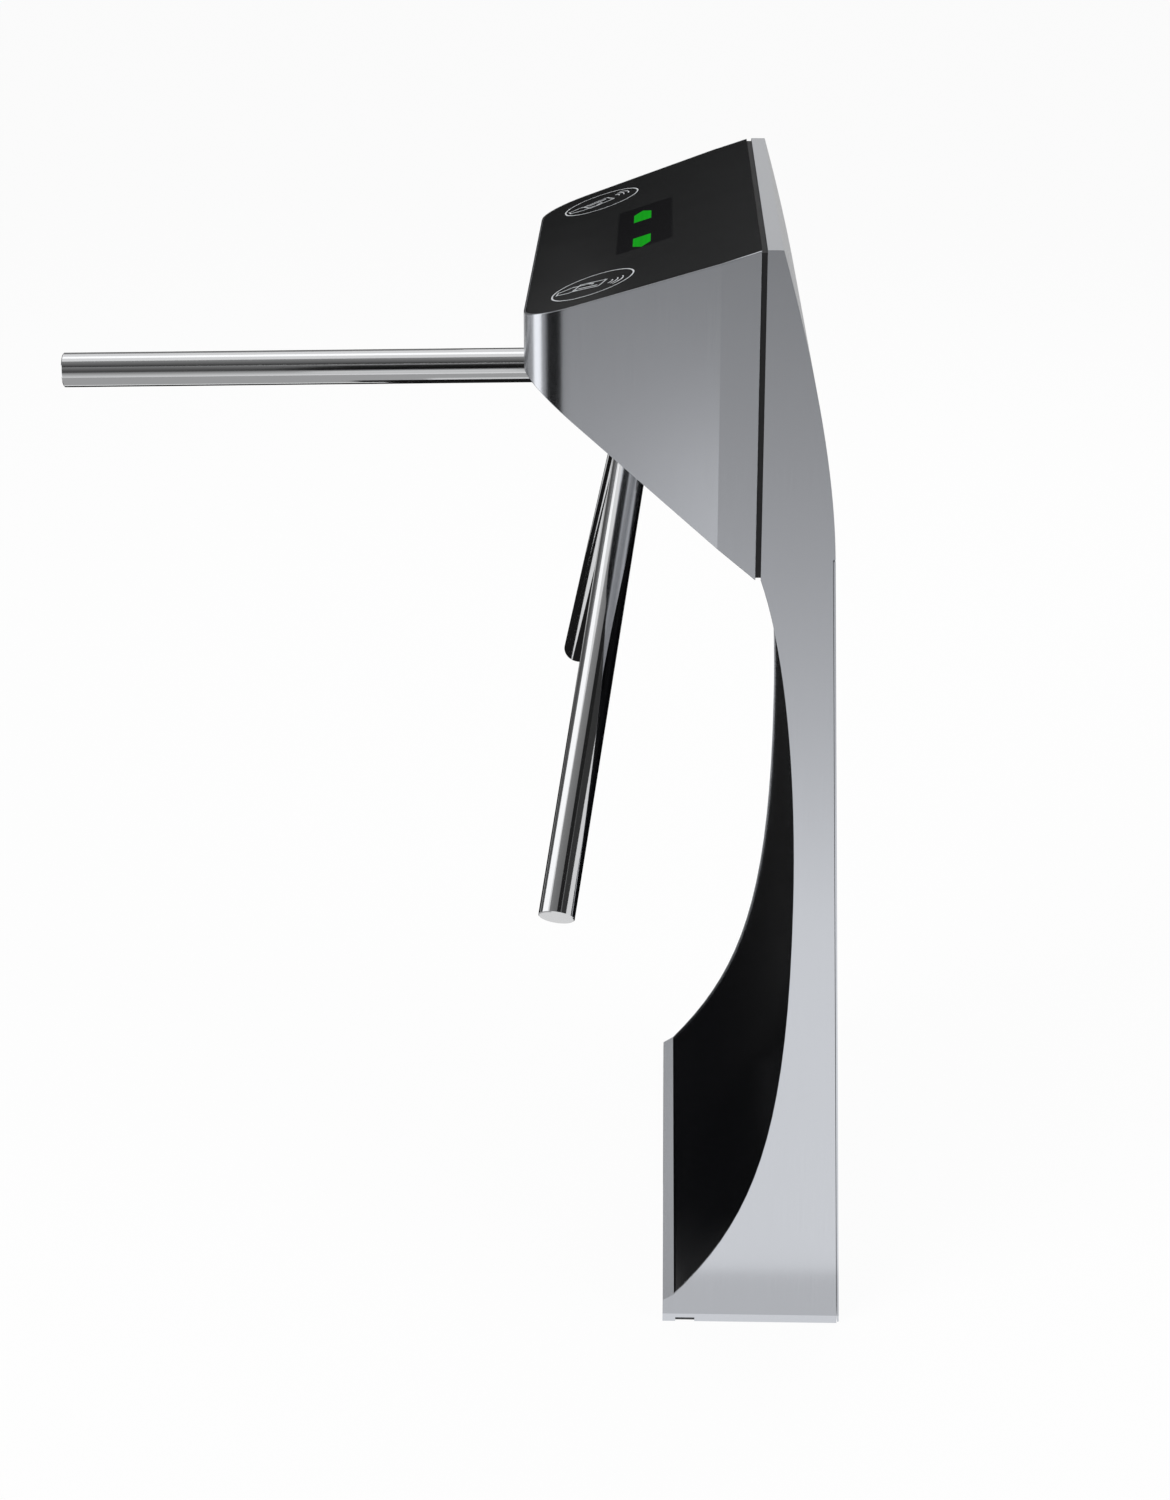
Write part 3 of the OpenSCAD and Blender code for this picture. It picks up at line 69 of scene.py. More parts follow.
def open_group(name, inputs, outputs):
    """An empty shader group with its named sockets, and its in and out nodes."""
    tree = bpy.data.node_groups.new(name, "ShaderNodeTree")
    for label, kind, value in inputs:
        socket = tree.interface.new_socket(label, in_out="INPUT", socket_type=kind)
        socket.default_value = value
    for label, kind in outputs:
        tree.interface.new_socket(label, in_out="OUTPUT", socket_type=kind)
    return tree, tree.nodes.new("NodeGroupInput"), tree.nodes.new("NodeGroupOutput")


def add(tree, kind, **settings):
    """A new node in a tree, with its own settings."""
    node = tree.nodes.new(kind)
    for name, value in settings.items():
        setattr(node, name, value)
    return node


def feed(tree, value, socket):
    """Gives an input socket another socket's value, or a number."""
    if isinstance(value, (int, float)):
        socket.default_value = value
    else:
        tree.links.new(value, socket)


def maths(tree, operation, first, second):
    """A maths node, with each side a socket or a number."""
    node = add(tree, "ShaderNodeMath", operation=operation)
    feed(tree, first, node.inputs[0])
    feed(tree, second, node.inputs[1])
    return node.outputs[0]


def spread(tree, value, low, high):
    """A 0 to 1 value laid out between two sockets or numbers."""
    node = add(tree, "ShaderNodeMapRange")
    tree.links.new(value, node.inputs["Value"])
    feed(tree, low, node.inputs["To Min"])
    feed(tree, high, node.inputs["To Max"])
    return node.outputs[0]


def around_one(tree, value, contrast):
    """A 0 to 1 value laid out evenly on both sides of 1, as far apart as the contrast."""
    half = maths(tree, "MULTIPLY", contrast, 0.5)
    return spread(tree, value, maths(tree, "SUBTRACT", 1.0, half), maths(tree, "ADD", 1.0, half))


def vary(tree, base, value, amount):
    """A base value that a 0 to 1 value pushes up and down by half an amount."""
    push = maths(tree, "MULTIPLY", maths(tree, "SUBTRACT", value, 0.5), amount)
    return maths(tree, "ADD", base, push)


def shade(tree, color, amount):
    """A colour made lighter or darker by an amount about 1."""
    node = add(tree, "ShaderNodeVectorMath", operation="SCALE")
    tree.links.new(color, node.inputs[0])
    tree.links.new(amount, node.inputs["Scale"])
    return node.outputs[0]


def object_place(tree, stretch=None):
    """Object coordinates, stretched by a vector socket where one is given."""
    place = add(tree, "ShaderNodeTexCoord")
    mapping = add(tree, "ShaderNodeMapping")
    tree.links.new(place.outputs["Object"], mapping.inputs["Vector"])
    if stretch is not None:
        tree.links.new(stretch, mapping.inputs["Scale"])
    return mapping.outputs[0]


def noise(tree, place, scale, detail, roughness):
    node = add(tree, "ShaderNodeTexNoise")
    node.inputs["Detail"].default_value = detail
    node.inputs["Roughness"].default_value = roughness
    feed(tree, scale, node.inputs["Scale"])
    tree.links.new(place, node.inputs["Vector"])
    return node.outputs["Fac"]


SURFACE_OUTPUTS = [("Color", "NodeSocketColor"), ("Roughness", "NodeSocketFloat"),
                   ("Height", "NodeSocketFloat")]


def make_brush_marks():
    """Long fine marks along one way, with faint hand smudges over them."""
    mark_roughness = 0.12
    tree, start, end = open_group("brush marks", [
        ("Color", "NodeSocketColor", (0.5, 0.5, 0.5, 1)),
        ("Stretch", "NodeSocketVector", (900, 900, 6)),
        ("Contrast", "NodeSocketFloat", 0.1),
        ("Roughness", "NodeSocketFloat", 0.3),
        ("Smudge", "NodeSocketFloat", 0.05)], SURFACE_OUTPUTS)
    along = object_place(tree, start.outputs["Stretch"])
    marks = noise(tree, along, scale=1.0, detail=4.0, roughness=0.6)
    hands = noise(tree, object_place(tree), scale=7.0, detail=3.0, roughness=0.55)
    tone = around_one(tree, marks, start.outputs["Contrast"])
    tree.links.new(shade(tree, start.outputs["Color"], tone), end.inputs["Color"])
    rough = vary(tree, start.outputs["Roughness"], marks, mark_roughness)
    rough = vary(tree, rough, hands, start.outputs["Smudge"])
    tree.links.new(rough, end.inputs["Roughness"])
    tree.links.new(marks, end.inputs["Height"])
    return tree


def make_fine_grain():
    """Even small grain, for castings, paint, rubber and moulded plastic, with slow patches of wear."""
    grain_share, patch_share = 0.6, 0.4
    tree, start, end = open_group("fine grain", [
        ("Color", "NodeSocketColor", (0.5, 0.5, 0.5, 1)),
        ("Grain", "NodeSocketFloat", 900.0),
        ("Contrast", "NodeSocketFloat", 0.1),
        ("Roughness", "NodeSocketFloat", 0.5),
        ("Patch", "NodeSocketFloat", 0.1)], SURFACE_OUTPUTS)
    place = object_place(tree)
    grain = noise(tree, place, start.outputs["Grain"], detail=2.0, roughness=0.5)
    patches = noise(tree, place, scale=18.0, detail=4.0, roughness=0.6)
    both = maths(tree, "ADD", maths(tree, "MULTIPLY", grain, grain_share),
                 maths(tree, "MULTIPLY", patches, patch_share))
    tone = around_one(tree, both, start.outputs["Contrast"])
    tree.links.new(shade(tree, start.outputs["Color"], tone), end.inputs["Color"])
    rough = vary(tree, start.outputs["Roughness"], patches, start.outputs["Patch"])
    tree.links.new(rough, end.inputs["Roughness"])
    tree.links.new(grain, end.inputs["Height"])
    return tree


def make_worn_and_highlit_edges():
    """Lightens a colour where the surface turns sharply, broken up by noise: wear on most parts, and a
    painted highlight on the smoked window's rim.
    """
    edge_start, edge_full = 0.99, 0.8
    least_edge_share = 0.25
    tree, start, end = open_group("worn and highlit edges", [
        ("Color", "NodeSocketColor", (0.5, 0.5, 0.5, 1)),
        ("Edge Color", "NodeSocketColor", (0.8, 0.8, 0.8, 1)),
        ("Width", "NodeSocketFloat", 0.0008),
        ("Amount", "NodeSocketFloat", 0.5)],
        [("Color", "NodeSocketColor")])
    rounded = add(tree, "ShaderNodeBevel", samples=4)
    tree.links.new(start.outputs["Width"], rounded.inputs["Radius"])
    flat = add(tree, "ShaderNodeNewGeometry")
    turn = add(tree, "ShaderNodeVectorMath", operation="DOT_PRODUCT")
    tree.links.new(rounded.outputs[0], turn.inputs[0])
    tree.links.new(flat.outputs["Normal"], turn.inputs[1])
    edge = add(tree, "ShaderNodeMapRange")
    tree.links.new(turn.outputs["Value"], edge.inputs["Value"])
    edge.inputs["From Min"].default_value = edge_start
    edge.inputs["From Max"].default_value = edge_full
    edge_breaks = noise(tree, object_place(tree), scale=220.0, detail=4.0, roughness=0.7)
    broken = spread(tree, edge_breaks, least_edge_share, 1.0)
    mask = maths(tree, "MULTIPLY", edge.outputs[0], broken)
    mask = maths(tree, "MULTIPLY", mask, start.outputs["Amount"])
    mix = add(tree, "ShaderNodeMix", data_type="RGBA")
    colors_in = [socket for socket in mix.inputs if socket.type == "RGBA"]
    color_out = next(socket for socket in mix.outputs if socket.type == "RGBA")
    tree.links.new(mask, mix.inputs[0])
    tree.links.new(start.outputs["Color"], colors_in[0])
    tree.links.new(start.outputs["Edge Color"], colors_in[1])
    tree.links.new(color_out, end.inputs["Color"])
    return tree


brush_marks = make_brush_marks()
fine_grain = make_fine_grain()
worn_and_highlit_edges = make_worn_and_highlit_edges()


# Finishes

def socket_name(label):
    return label.replace("_", " ")


def new_material(name, metallic=0.0, **sockets):
    material = bpy.data.materials.new(name)
    material.use_nodes = True
    tree = material.node_tree
    shader = tree.nodes["Principled BSDF"]
    shader.inputs["Metallic"].default_value = metallic
    for label, value in sockets.items():
        shader.inputs[socket_name(label)].default_value = value
    return material, tree, shader


def place_group(tree, group, **values):
    node = add(tree, "ShaderNodeGroup", node_tree=group)
    for label, value in values.items():
        node.inputs[socket_name(label)].default_value = value
    return node


def join_surface(tree, shader, surface, distance, edges=None):
    """Feeds a group's colour, roughness and height into a shader, over worn edges if they are given."""
    bump_strength = 0.5
    color = surface.outputs["Color"]
    if edges is not None:
        tree.links.new(color, edges.inputs["Color"])
        color = edges.outputs["Color"]
    tree.links.new(color, shader.inputs["Base Color"])
    tree.links.new(surface.outputs["Roughness"], shader.inputs["Roughness"])
    bump = add(tree, "ShaderNodeBump")
    bump.inputs["Strength"].default_value = bump_strength
    bump.inputs["Distance"].default_value = distance
    tree.links.new(surface.outputs["Height"], bump.inputs["Height"])
    tree.links.new(bump.outputs[0], shader.inputs["Normal"])


def brushed(name, color, roughness, stretch, contrast, smudge, distance, edge=0.0, **sockets):
    """Metal with fine marks along one way, and bare bright edges where an amount is given."""
    bare_metal = (0.86, 0.87, 0.88, 1)
    material, tree, shader = new_material(name, 1.0, **sockets)
    marks = place_group(tree, brush_marks, Color=(*color, 1), Roughness=roughness, Stretch=stretch,
                        Contrast=contrast, Smudge=smudge)
    edges = None
    if edge:
        edges = place_group(tree, worn_and_highlit_edges, Edge_Color=bare_metal, Amount=edge)
    join_surface(tree, shader, marks, distance, edges)
    return material


def grained(name, color, roughness, grain, metallic=0.0, contrast=0.15, patch=0.12, distance=0.00003,
            edge=None, **sockets):
    """Paint, plastic, rubber, glass or a casting with an even grain, and edges of a given colour."""
    edge_amount = 0.45
    material, tree, shader = new_material(name, metallic, **sockets)
    body = place_group(tree, fine_grain, Color=(*color, 1), Roughness=roughness, Grain=grain,
                       Contrast=contrast, Patch=patch)
    edges = None
    if edge:
        edges = place_group(tree, worn_and_highlit_edges, Edge_Color=(*edge, 1), Amount=edge_amount)
    join_surface(tree, shader, body, distance, edges)
    return material


def lit_lens(name, color, glass, glow):
    """A moulded lens lit from behind, brighter over each row of lamps."""
    lamps_per_metre, lamp_wander = 210.0, 0.15
    over_lamp, between_lamps = 1.12, 0.75
    material, tree, shader = new_material(name, Emission_Strength=glow, Specular_IOR_Level=0.03)
    shader.inputs["Base Color"].default_value = (*glass, 1)
    body = place_group(tree, fine_grain, Color=(*color, 1), Roughness=0.3, Grain=420.0, Contrast=0.25,
                       Patch=0.05)
    tree.links.new(body.outputs["Roughness"], shader.inputs["Roughness"])
    lamps = add(tree, "ShaderNodeTexVoronoi")
    lamps.inputs["Scale"].default_value = lamps_per_metre
    lamps.inputs["Randomness"].default_value = lamp_wander
    tree.links.new(object_place(tree), lamps.inputs["Vector"])
    bright = spread(tree, lamps.outputs["Distance"], over_lamp, between_lamps)
    tree.links.new(shade(tree, body.outputs["Color"], bright), shader.inputs["Emission Color"])
    return material


finishes = {
    "brushed_stainless": brushed(
        "brushed stainless", color=(0.588, 0.605, 0.643), roughness=0.21, stretch=(1500, 1500, 14),
        contrast=0.10, smudge=0.06, distance=0.00002),
    "polished_stainless": brushed(
        "polished stainless", color=(0.62, 0.625, 0.635), roughness=0.08, stretch=(60, 900, 900),
        contrast=0.05, smudge=0.03, distance=0.000002),
    "black_scoop": grained(
        "gloss black", color=(0.003, 0.0032, 0.004), roughness=0.16, grain=700.0, contrast=0.3,
        patch=0.06, distance=0.000004, Specular_IOR_Level=0.05),
    "black_glass": grained(
        "black back-painted glass", color=(0.005, 0.0055, 0.006), roughness=0.17, grain=800.0,
        contrast=0.3, patch=0.05, distance=0.000002, Specular_IOR_Level=0.3),
    # The smoked window's lighter grey edges are a painted highlight along its rim.
    "smoked_window": grained(
        "smoked acrylic", color=(0.003, 0.003, 0.004), roughness=0.09, grain=700.0, contrast=0.3,
        patch=0.04, distance=0.000002, edge=(0.12, 0.12, 0.125), Specular_IOR_Level=0.08),
    "green_lens": lit_lens(
        "lit green lens", color=(0.0, 0.31, 0.003), glass=(0.0, 0.01, 0.001), glow=1.0),
    "white_ring": grained(
        "white inlay", color=(0.62, 0.64, 0.66), roughness=0.4, grain=900.0, contrast=0.08),
    "black_rubber": grained(
        "black rubber", color=(0.012, 0.012, 0.013), roughness=0.72, grain=600.0, contrast=0.4,
        distance=0.00008, edge=(0.05, 0.05, 0.05)),
    "black_plastic": grained(
        "black plastic", color=(0.02, 0.02, 0.022), roughness=0.5, grain=1100.0, contrast=0.3,
        distance=0.00004, edge=(0.09, 0.09, 0.09)),
    "grey_plastic": grained(
        "grey plastic", color=(0.30, 0.31, 0.32), roughness=0.5, grain=1100.0, edge=(0.5, 0.51, 0.52)),
    "painted_steel": grained(
        "dark powder coat", color=(0.045, 0.047, 0.05), roughness=0.55, grain=750.0, contrast=0.3,
        distance=0.00006, edge=(0.3, 0.3, 0.31)),
    "zinc_steel": grained(
        "bright zinc plate", color=(0.55, 0.55, 0.57), roughness=0.33, grain=260.0, metallic=1.0,
        contrast=0.3, patch=0.2, distance=0.00001, edge=(0.85, 0.85, 0.86)),
    "machined_steel": brushed(
        "machined steel", color=(0.5, 0.505, 0.52), roughness=0.24, stretch=(1100, 1100, 1100),
        contrast=0.2, smudge=0.1, distance=0.00001, edge=0.4),
    "cast_aluminium": grained(
        "blasted aluminium casting", color=(0.52, 0.53, 0.55), roughness=0.45, grain=650.0,
        metallic=1.0, contrast=0.2, patch=0.15, distance=0.00006, edge=(0.8, 0.8, 0.82)),
    "brass": brushed(
        "machined brass", color=(0.62, 0.43, 0.16), roughness=0.26, stretch=(900, 900, 900),
        contrast=0.2, smudge=0.12, distance=0.00001, edge=0.2),
    "circuit_board": grained(
        "green solder mask", color=(0.01, 0.10, 0.04), roughness=0.35, grain=500.0, contrast=0.5),
}


def finish_of(node):
    """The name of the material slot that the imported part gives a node."""
    return node.data.materials[0].name.split(".")[0]


slots = {name: finish_of(node) for name, node in nodes.items()}
rides = {name: body for body, holder in frame["bodies"].items()
         for name, node in nodes.items() if node.parent == holder}
for name, node in nodes.items():
    for place in range(len(node.data.materials)):
        node.data.materials[place] = finishes[slots[name]]


# Pieces made for the look

def keep_piece(name, bm, body, slot, replaced=()):
    """Makes a finished mesh a piece that rides a body, has a finish, and may stand for CAD nodes."""
    mesh = bpy.data.meshes.new(name)
    bm.to_mesh(mesh)
    bm.free()
    piece = bpy.data.objects.new(name, mesh)
    bpy.context.scene.collection.objects.link(piece)
    mesh.materials.append(finishes[slot])
    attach(piece, body)
    if replaced:
        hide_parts(*replaced)
    return piece


def turns_over(edge, angle):
    """Whether two faces meet at an edge and turn by more than an angle there."""
    return len(edge.link_faces) == 2 and edge.calc_face_angle(0) > math.radians(angle)


def soften(bm, edges, radius, slide=False):
    bmesh.ops.bevel(bm, geom=edges, offset=radius, offset_type="OFFSET", segments=EDGE_STEPS,
                    profile=0.5, affect="EDGES", clamp_overlap=True, material=-1, loop_slide=slide)


def even_normals(piece):
    """Keeps large faces flat beside the narrow faces of a softened edge."""
    even = piece.modifiers.new("even normals", "WEIGHTED_NORMAL")
    even.mode = "FACE_AREA"
    even.weight = FULL_WEIGHT
    even.keep_sharp = True


def fold_edges(node_name, fold, shortest=4.0, crisp_from=None):
    """The same part with smooth curves and the small radius that folding or deburring leaves.

    The radius and the shortest edge that gets it are in millimetres. Shallow folds that lie
    beyond crisp_from along X stay crisp."""
    bm = bmesh.new()
    bm.from_mesh(nodes[node_name].data)
    bmesh.ops.remove_doubles(bm, verts=bm.verts[:], dist=MERGE_GAP)
    bmesh.ops.dissolve_limit(bm, angle_limit=math.radians(FLAT_ANGLE), verts=bm.verts[:],
                             edges=bm.edges[:])
    if fold:
        soften(bm, [e for e in bm.edges if turns_over(e, SHARP_ANGLE)
                    and e.calc_length() > shortest * MM], fold * MM, slide=True)
    for face in bm.faces:
        face.smooth = True
    for e in bm.edges:
        crisp = crisp_from is not None and min(v.co.x for v in e.verts) > crisp_from
        limit = CRISP_FOLD if crisp else SHARP_ANGLE
        e.smooth = len(e.link_faces) == 2 and e.calc_face_angle(0) < math.radians(limit)
    even_normals(keep_piece(node_name + "_finished", bm, rides[node_name], slots[node_name],
                            [node_name]))


def box_at(bm, low, high):
    """A box between two corners, in millimetres."""
    made = bmesh.ops.create_cube(bm, size=1.0)["verts"]
    bmesh.ops.scale(bm, vec=[(b - a) * MM for a, b in zip(low, high)], verts=made)
    bmesh.ops.translate(bm, vec=[(a + b) / 2 * MM for a, b in zip(low, high)], verts=made)


def post_at(bm, foot, radius, length, axis):
    """A round post that stands on a place and points along an axis, in millimetres."""
    made = bmesh.ops.create_cone(bm, cap_ends=True, segments=POST_SIDES, radius1=radius * MM,
                                 radius2=radius * MM, depth=length * MM)["verts"]
    bmesh.ops.translate(bm, vec=(0, 0, length / 2 * MM), verts=made)
    turn = Vector((0, 0, 1)).rotation_difference(Vector(axis)).to_matrix()
    bmesh.ops.rotate(bm, cent=(0, 0, 0), matrix=turn, verts=made)
    bmesh.ops.translate(bm, vec=Vector(foot) * MM, verts=made)


def small_parts(name, slot, boxes=(), posts=(), edge=0.3):
    """A set of small moulded or turned parts with softened edges, in millimetres."""
    bm = bmesh.new()
    for low, high in boxes:
        box_at(bm, low, high)
    for post in posts:
        post_at(bm, *post)
    soften(bm, [e for e in bm.edges if turns_over(e, SHARP_ANGLE)], edge * MM)
    for face in bm.faces:
        face.smooth = True
    even_normals(keep_piece(name, bm, "frame", slot))


# Small parts in the cabinet, in millimetres

def fit_out_control_board():
    """Chips, cans, relays, terminals and small parts on the control board's face."""
    face = 41.3
    sunk, sunk_leg = 0.3, 0.2
    outward = (1, 0, 0)

    chip_places, chip_l, chip_top, chip_edge = (-43, 2, 56), 22.5, 50.6, 0.2
    chip_z = (419.8, 450.2)
    leg_z, leg_w, leg_pitch, leg_rise, first_leg = (417, 453.2), 1.2, 4, 1, 2
    edge_breaks = [(y - chip_edge, y + chip_l + chip_edge) for y in chip_places]
    legs = [y + first_leg + leg_pitch * k for y in chip_places for k in range(5)]
    small_parts("board_chips", "black_plastic",
                [((face - sunk, a, chip_z[0]), (chip_top, b, chip_z[1])) for a, b in edge_breaks]
                + [((face - sunk_leg, y, leg_z[0]), (face + leg_rise, y + leg_w, leg_z[1]))
                   for y in legs])

    relay_y, relay_pitch, relay_w, relay_rise = -62, 22, 16, 9
    relay_z = (464, 484)
    relays = [relay_y + relay_pitch * k for k in range(4)]
    small_parts("board_relays", "black_plastic",
                [((face - sunk, y, relay_z[0]), (face + relay_rise, y + relay_w, relay_z[1]))
                 for y in relays])

    # Each can: its place along Y and Z, its radius and its height
    cans = ((38, 470, 6, 11), (54, 470, 6, 11), (68, 474, 4, 8), (78, 474, 4, 8), (-54, 436, 5, 10),
            (90, 436, 4, 8), (40, 434, 4, 8))
    small_parts("board_cans", "zinc_steel",
                posts=[((face - sunk, y, z), radius, height, outward) for y, z, radius, height in cans])

    clamp_y, clamp_pitch, clamp_w, clamp_rise = -58, 17, 15, 10
    clamp_z = (382.5, 394)
    clamps = [clamp_y + clamp_pitch * k for k in range(9)]
    small_parts("board_terminals", "grey_plastic",
                [((face - sunk, y, clamp_z[0]), (face + clamp_rise, y + clamp_w, clamp_z[1]))
                 for y in clamps])

    screw_y, screw_pitch, screw_z, screw_seat, screw_r, screw_h = 3.7, 7.5, 388, 9.6, 2.3, 0.9
    screws = [y + screw_y + screw_pitch * k for y in clamps for k in range(2)]
    small_parts("board_terminal_screws", "zinc_steel",
                posts=[((face + screw_seat, y, screw_z), screw_r, screw_h, outward) for y in screws],
                edge=0.15)

    fine_y, fine_pitch, fine_rows = -58, 6.5, (402, 408)
    fine_l, fine_w, fine_rise = 3.2, 1.6, 0.8
    fine = [(fine_y + fine_pitch * k, z) for k in range(24) for z in fine_rows]
    small_parts("board_fine_parts", "black_plastic",
                [((face - sunk_leg, y, z), (face + fine_rise, y + fine_l, z + fine_w)) for y, z in fine],
                edge=0.1)

    end_l, end_rise, end_edge, end_places = 0.7, 0.7, 0.1, (-0.6, 3.1)
    ends = [(y + side, z) for y, z in fine for side in end_places]
    small_parts("board_fine_ends", "zinc_steel",
                [((face - sunk_leg, y, z + end_edge),
                  (face + end_rise, y + end_l, z + fine_w - end_edge)) for y, z in ends], edge=0.08)

    board_screw_r, board_screw_h = 3.1, 2.2
    board_screws = ((-64, 386), (104, 386), (-64, 494))
    small_parts("board_screws", "zinc_steel",
                posts=[((face - sunk_leg, y, z), board_screw_r, board_screw_h, outward)
                       for y, z in board_screws])


def fit_out_floor():
    """Screws and markers on the terminal row, and the power supply's terminals and lid screws."""
    up, near = (0, 0, 1), (0, -1, 0)
    row_y, row_pitch, ways = -180, 10, range(8)
    row_screw_x, row_screw_y, row_screw_z, row_screw_r = (-8, 8), 4.75, 53.2, 2.2
    screw_h, lid_screw_h = 0.9, 1.2
    small_parts("row_screws", "zinc_steel",
                posts=[((x, row_y + row_pitch * k + row_screw_y, row_screw_z), row_screw_r, screw_h, up)
                       for k in ways for x in row_screw_x], edge=0.15)

    mark_x, mark_y, mark_l, mark_z = 3, -179, 7.5, (53.3, 54.1)
    marks = [mark_y + row_pitch * k for k in ways]
    small_parts("row_markers", "white_ring",
                [((-mark_x, y, mark_z[0]), (mark_x, y + mark_l, mark_z[1])) for y in marks], edge=0.2)

    block_x, block_y, block_z = 21, (41, 50.2), (22, 36)
    block = ((-block_x, block_y[0], block_z[0]), (block_x, block_y[1], block_z[1]))
    wall_pitch, wall_w, wall_y, wall_z = 8.2, 1, (39, 42), (22, 40)
    walls = [-block_x + wall_pitch * k for k in range(6)]
    small_parts("supply_terminals", "black_plastic",
                [block] + [((x, wall_y[0], wall_z[0]), (x + wall_w, wall_y[1], wall_z[1]))
                           for x in walls])

    supply_screw_r, supply_screw_x, supply_screw_y, supply_screw_z = 2.4, -16.5, 41.2, 29
    small_parts("supply_terminal_screws", "zinc_steel",
                posts=[((supply_screw_x + wall_pitch * k, supply_screw_y, supply_screw_z),
                        supply_screw_r, lid_screw_h, near) for k in range(5)], edge=0.15)
    lid_x, lid_y, lid_z = (-20, 20), (56, 204), 73.8
    small_parts("supply_lid_screws", "zinc_steel",
                posts=[((x, y, lid_z), supply_screw_r, lid_screw_h, up)
                       for x in lid_x for y in lid_y], edge=0.2)


# Reader signs

TOP_ANGLE = math.radians(18.5)
JOINT_TOP = (-0.0103, 1.0175)
SIGN_X = -0.1517
SIGN_Y = 0.186


def top_height(x):
    """Height of the top plane over a place across the head."""
    return JOINT_TOP[1] + (x - JOINT_TOP[0]) * math.tan(TOP_ANGLE)


def stroke(bm, start, end, width, thick):
    """A straight painted line, a little longer than its ends so that corners close."""
    corner_share = 0.6
    start, end = Vector((*start, 0)), Vector((*end, 0))
    way = end - start
    made = bmesh.ops.create_cube(bm, size=1.0)["verts"]
    bmesh.ops.scale(bm, vec=(way.length + width * corner_share, width, thick), verts=made)
    turn = Matrix.Rotation(math.atan2(way.y, way.x), 3, "Z")
    bmesh.ops.rotate(bm, cent=(0, 0, 0), matrix=turn, verts=made)
    middle = (start + end) / 2
    bmesh.ops.translate(bm, vec=(middle.x, middle.y, thick / 2), verts=made)


def arc(bm, centre, radius, first, last, width, thick, steps):
    """A curved painted line, spun from a small square."""
    made = bmesh.ops.create_grid(bm, x_segments=1, y_segments=1, size=0.5)["verts"]
    bmesh.ops.scale(bm, vec=(width, thick, 1), verts=made)
    upright = Matrix.Rotation(math.radians(90), 3, "X")
    bmesh.ops.rotate(bm, cent=(0, 0, 0), matrix=upright, verts=made)
    bmesh.ops.translate(bm, vec=(radius, 0, thick / 2), verts=made)
    bmesh.ops.rotate(bm, cent=(0, 0, 0), matrix=Matrix.Rotation(math.radians(first), 3, "Z"), verts=made)
    edges = list({e for v in made for e in v.link_edges})
    faces = list({f for v in made for f in v.link_faces})
    spun = bmesh.ops.spin(bm, geom=made + edges + faces, cent=(0, 0, 0), axis=(0, 0, 1),
                          angle=math.radians(last - first), steps=steps,
                          use_duplicate=False)["geom_last"]
    grown = set(made) | {g for g in spun if isinstance(g, bmesh.types.BMVert)}
    while True:
        more = {e.other_vert(v) for v in grown for e in v.link_edges} - grown
        if not more:
            break
        grown |= more
    bmesh.ops.translate(bm, vec=(*centre, 0), verts=list(grown))


def make_reader_sign(side):
    """A hand that holds a card up to three waves, inside a reader ring."""
    line, thick = 0.0011, 0.00012
    bold_line, fine_line = line * 1.3, line * 0.8
    tilt = Matrix.Rotation(math.radians(24), 2)
    bm = bmesh.new()

    corners = ((-0.016, -0.009), (0.010, -0.009), (0.010, 0.009), (-0.016, 0.009))
    card = [tilt @ Vector(c) for c in corners]
    for a, b in zip(card, card[1:] + card[:1]):
        stroke(bm, a, b, line, thick)
    stroke(bm, tilt @ Vector((-0.012, 0.004)), tilt @ Vector((0.006, 0.004)), bold_line, thick)

    hand = (((-0.030, -0.010), (-0.018, -0.014)), ((-0.018, -0.014), (-0.007, -0.009)),
            ((-0.032, -0.002), (-0.022, 0.003)), ((-0.022, 0.003), (-0.014, 0.001)),
            ((-0.031, -0.011), (-0.033, -0.001)))
    for a, b in hand:
        stroke(bm, a, b, line, thick)
    finger_r = 0.0017
    for k in range(3):
        fingertip = (-0.0055 + 0.0022 * k, -0.0105 + 0.0028 * k)
        arc(bm, fingertip, finger_r, first=-100, last=100, width=fine_line, thick=thick, steps=6)

    wave_centre, first_wave, wave_pitch = (0.010, 0.006), 0.008, 0.0048
    for k in range(3):
        arc(bm, wave_centre, first_wave + wave_pitch * k, first=-12, last=62, width=line,
            thick=thick, steps=8)

    bmesh.ops.transform(bm, matrix=Matrix.Diagonal((1, side, 1, 1)), verts=bm.verts[:])
    bmesh.ops.recalc_face_normals(bm, faces=bm.faces[:])
    place = Matrix.Translation((SIGN_X, SIGN_Y * side, top_height(SIGN_X)))
    lean = Matrix.Rotation(-TOP_ANGLE, 4, "Y")
    bmesh.ops.transform(bm, matrix=place @ lean, verts=bm.verts[:])
    keep_piece("reader_sign_" + ("far" if side > 0 else "near"), bm, "frame", "white_ring")


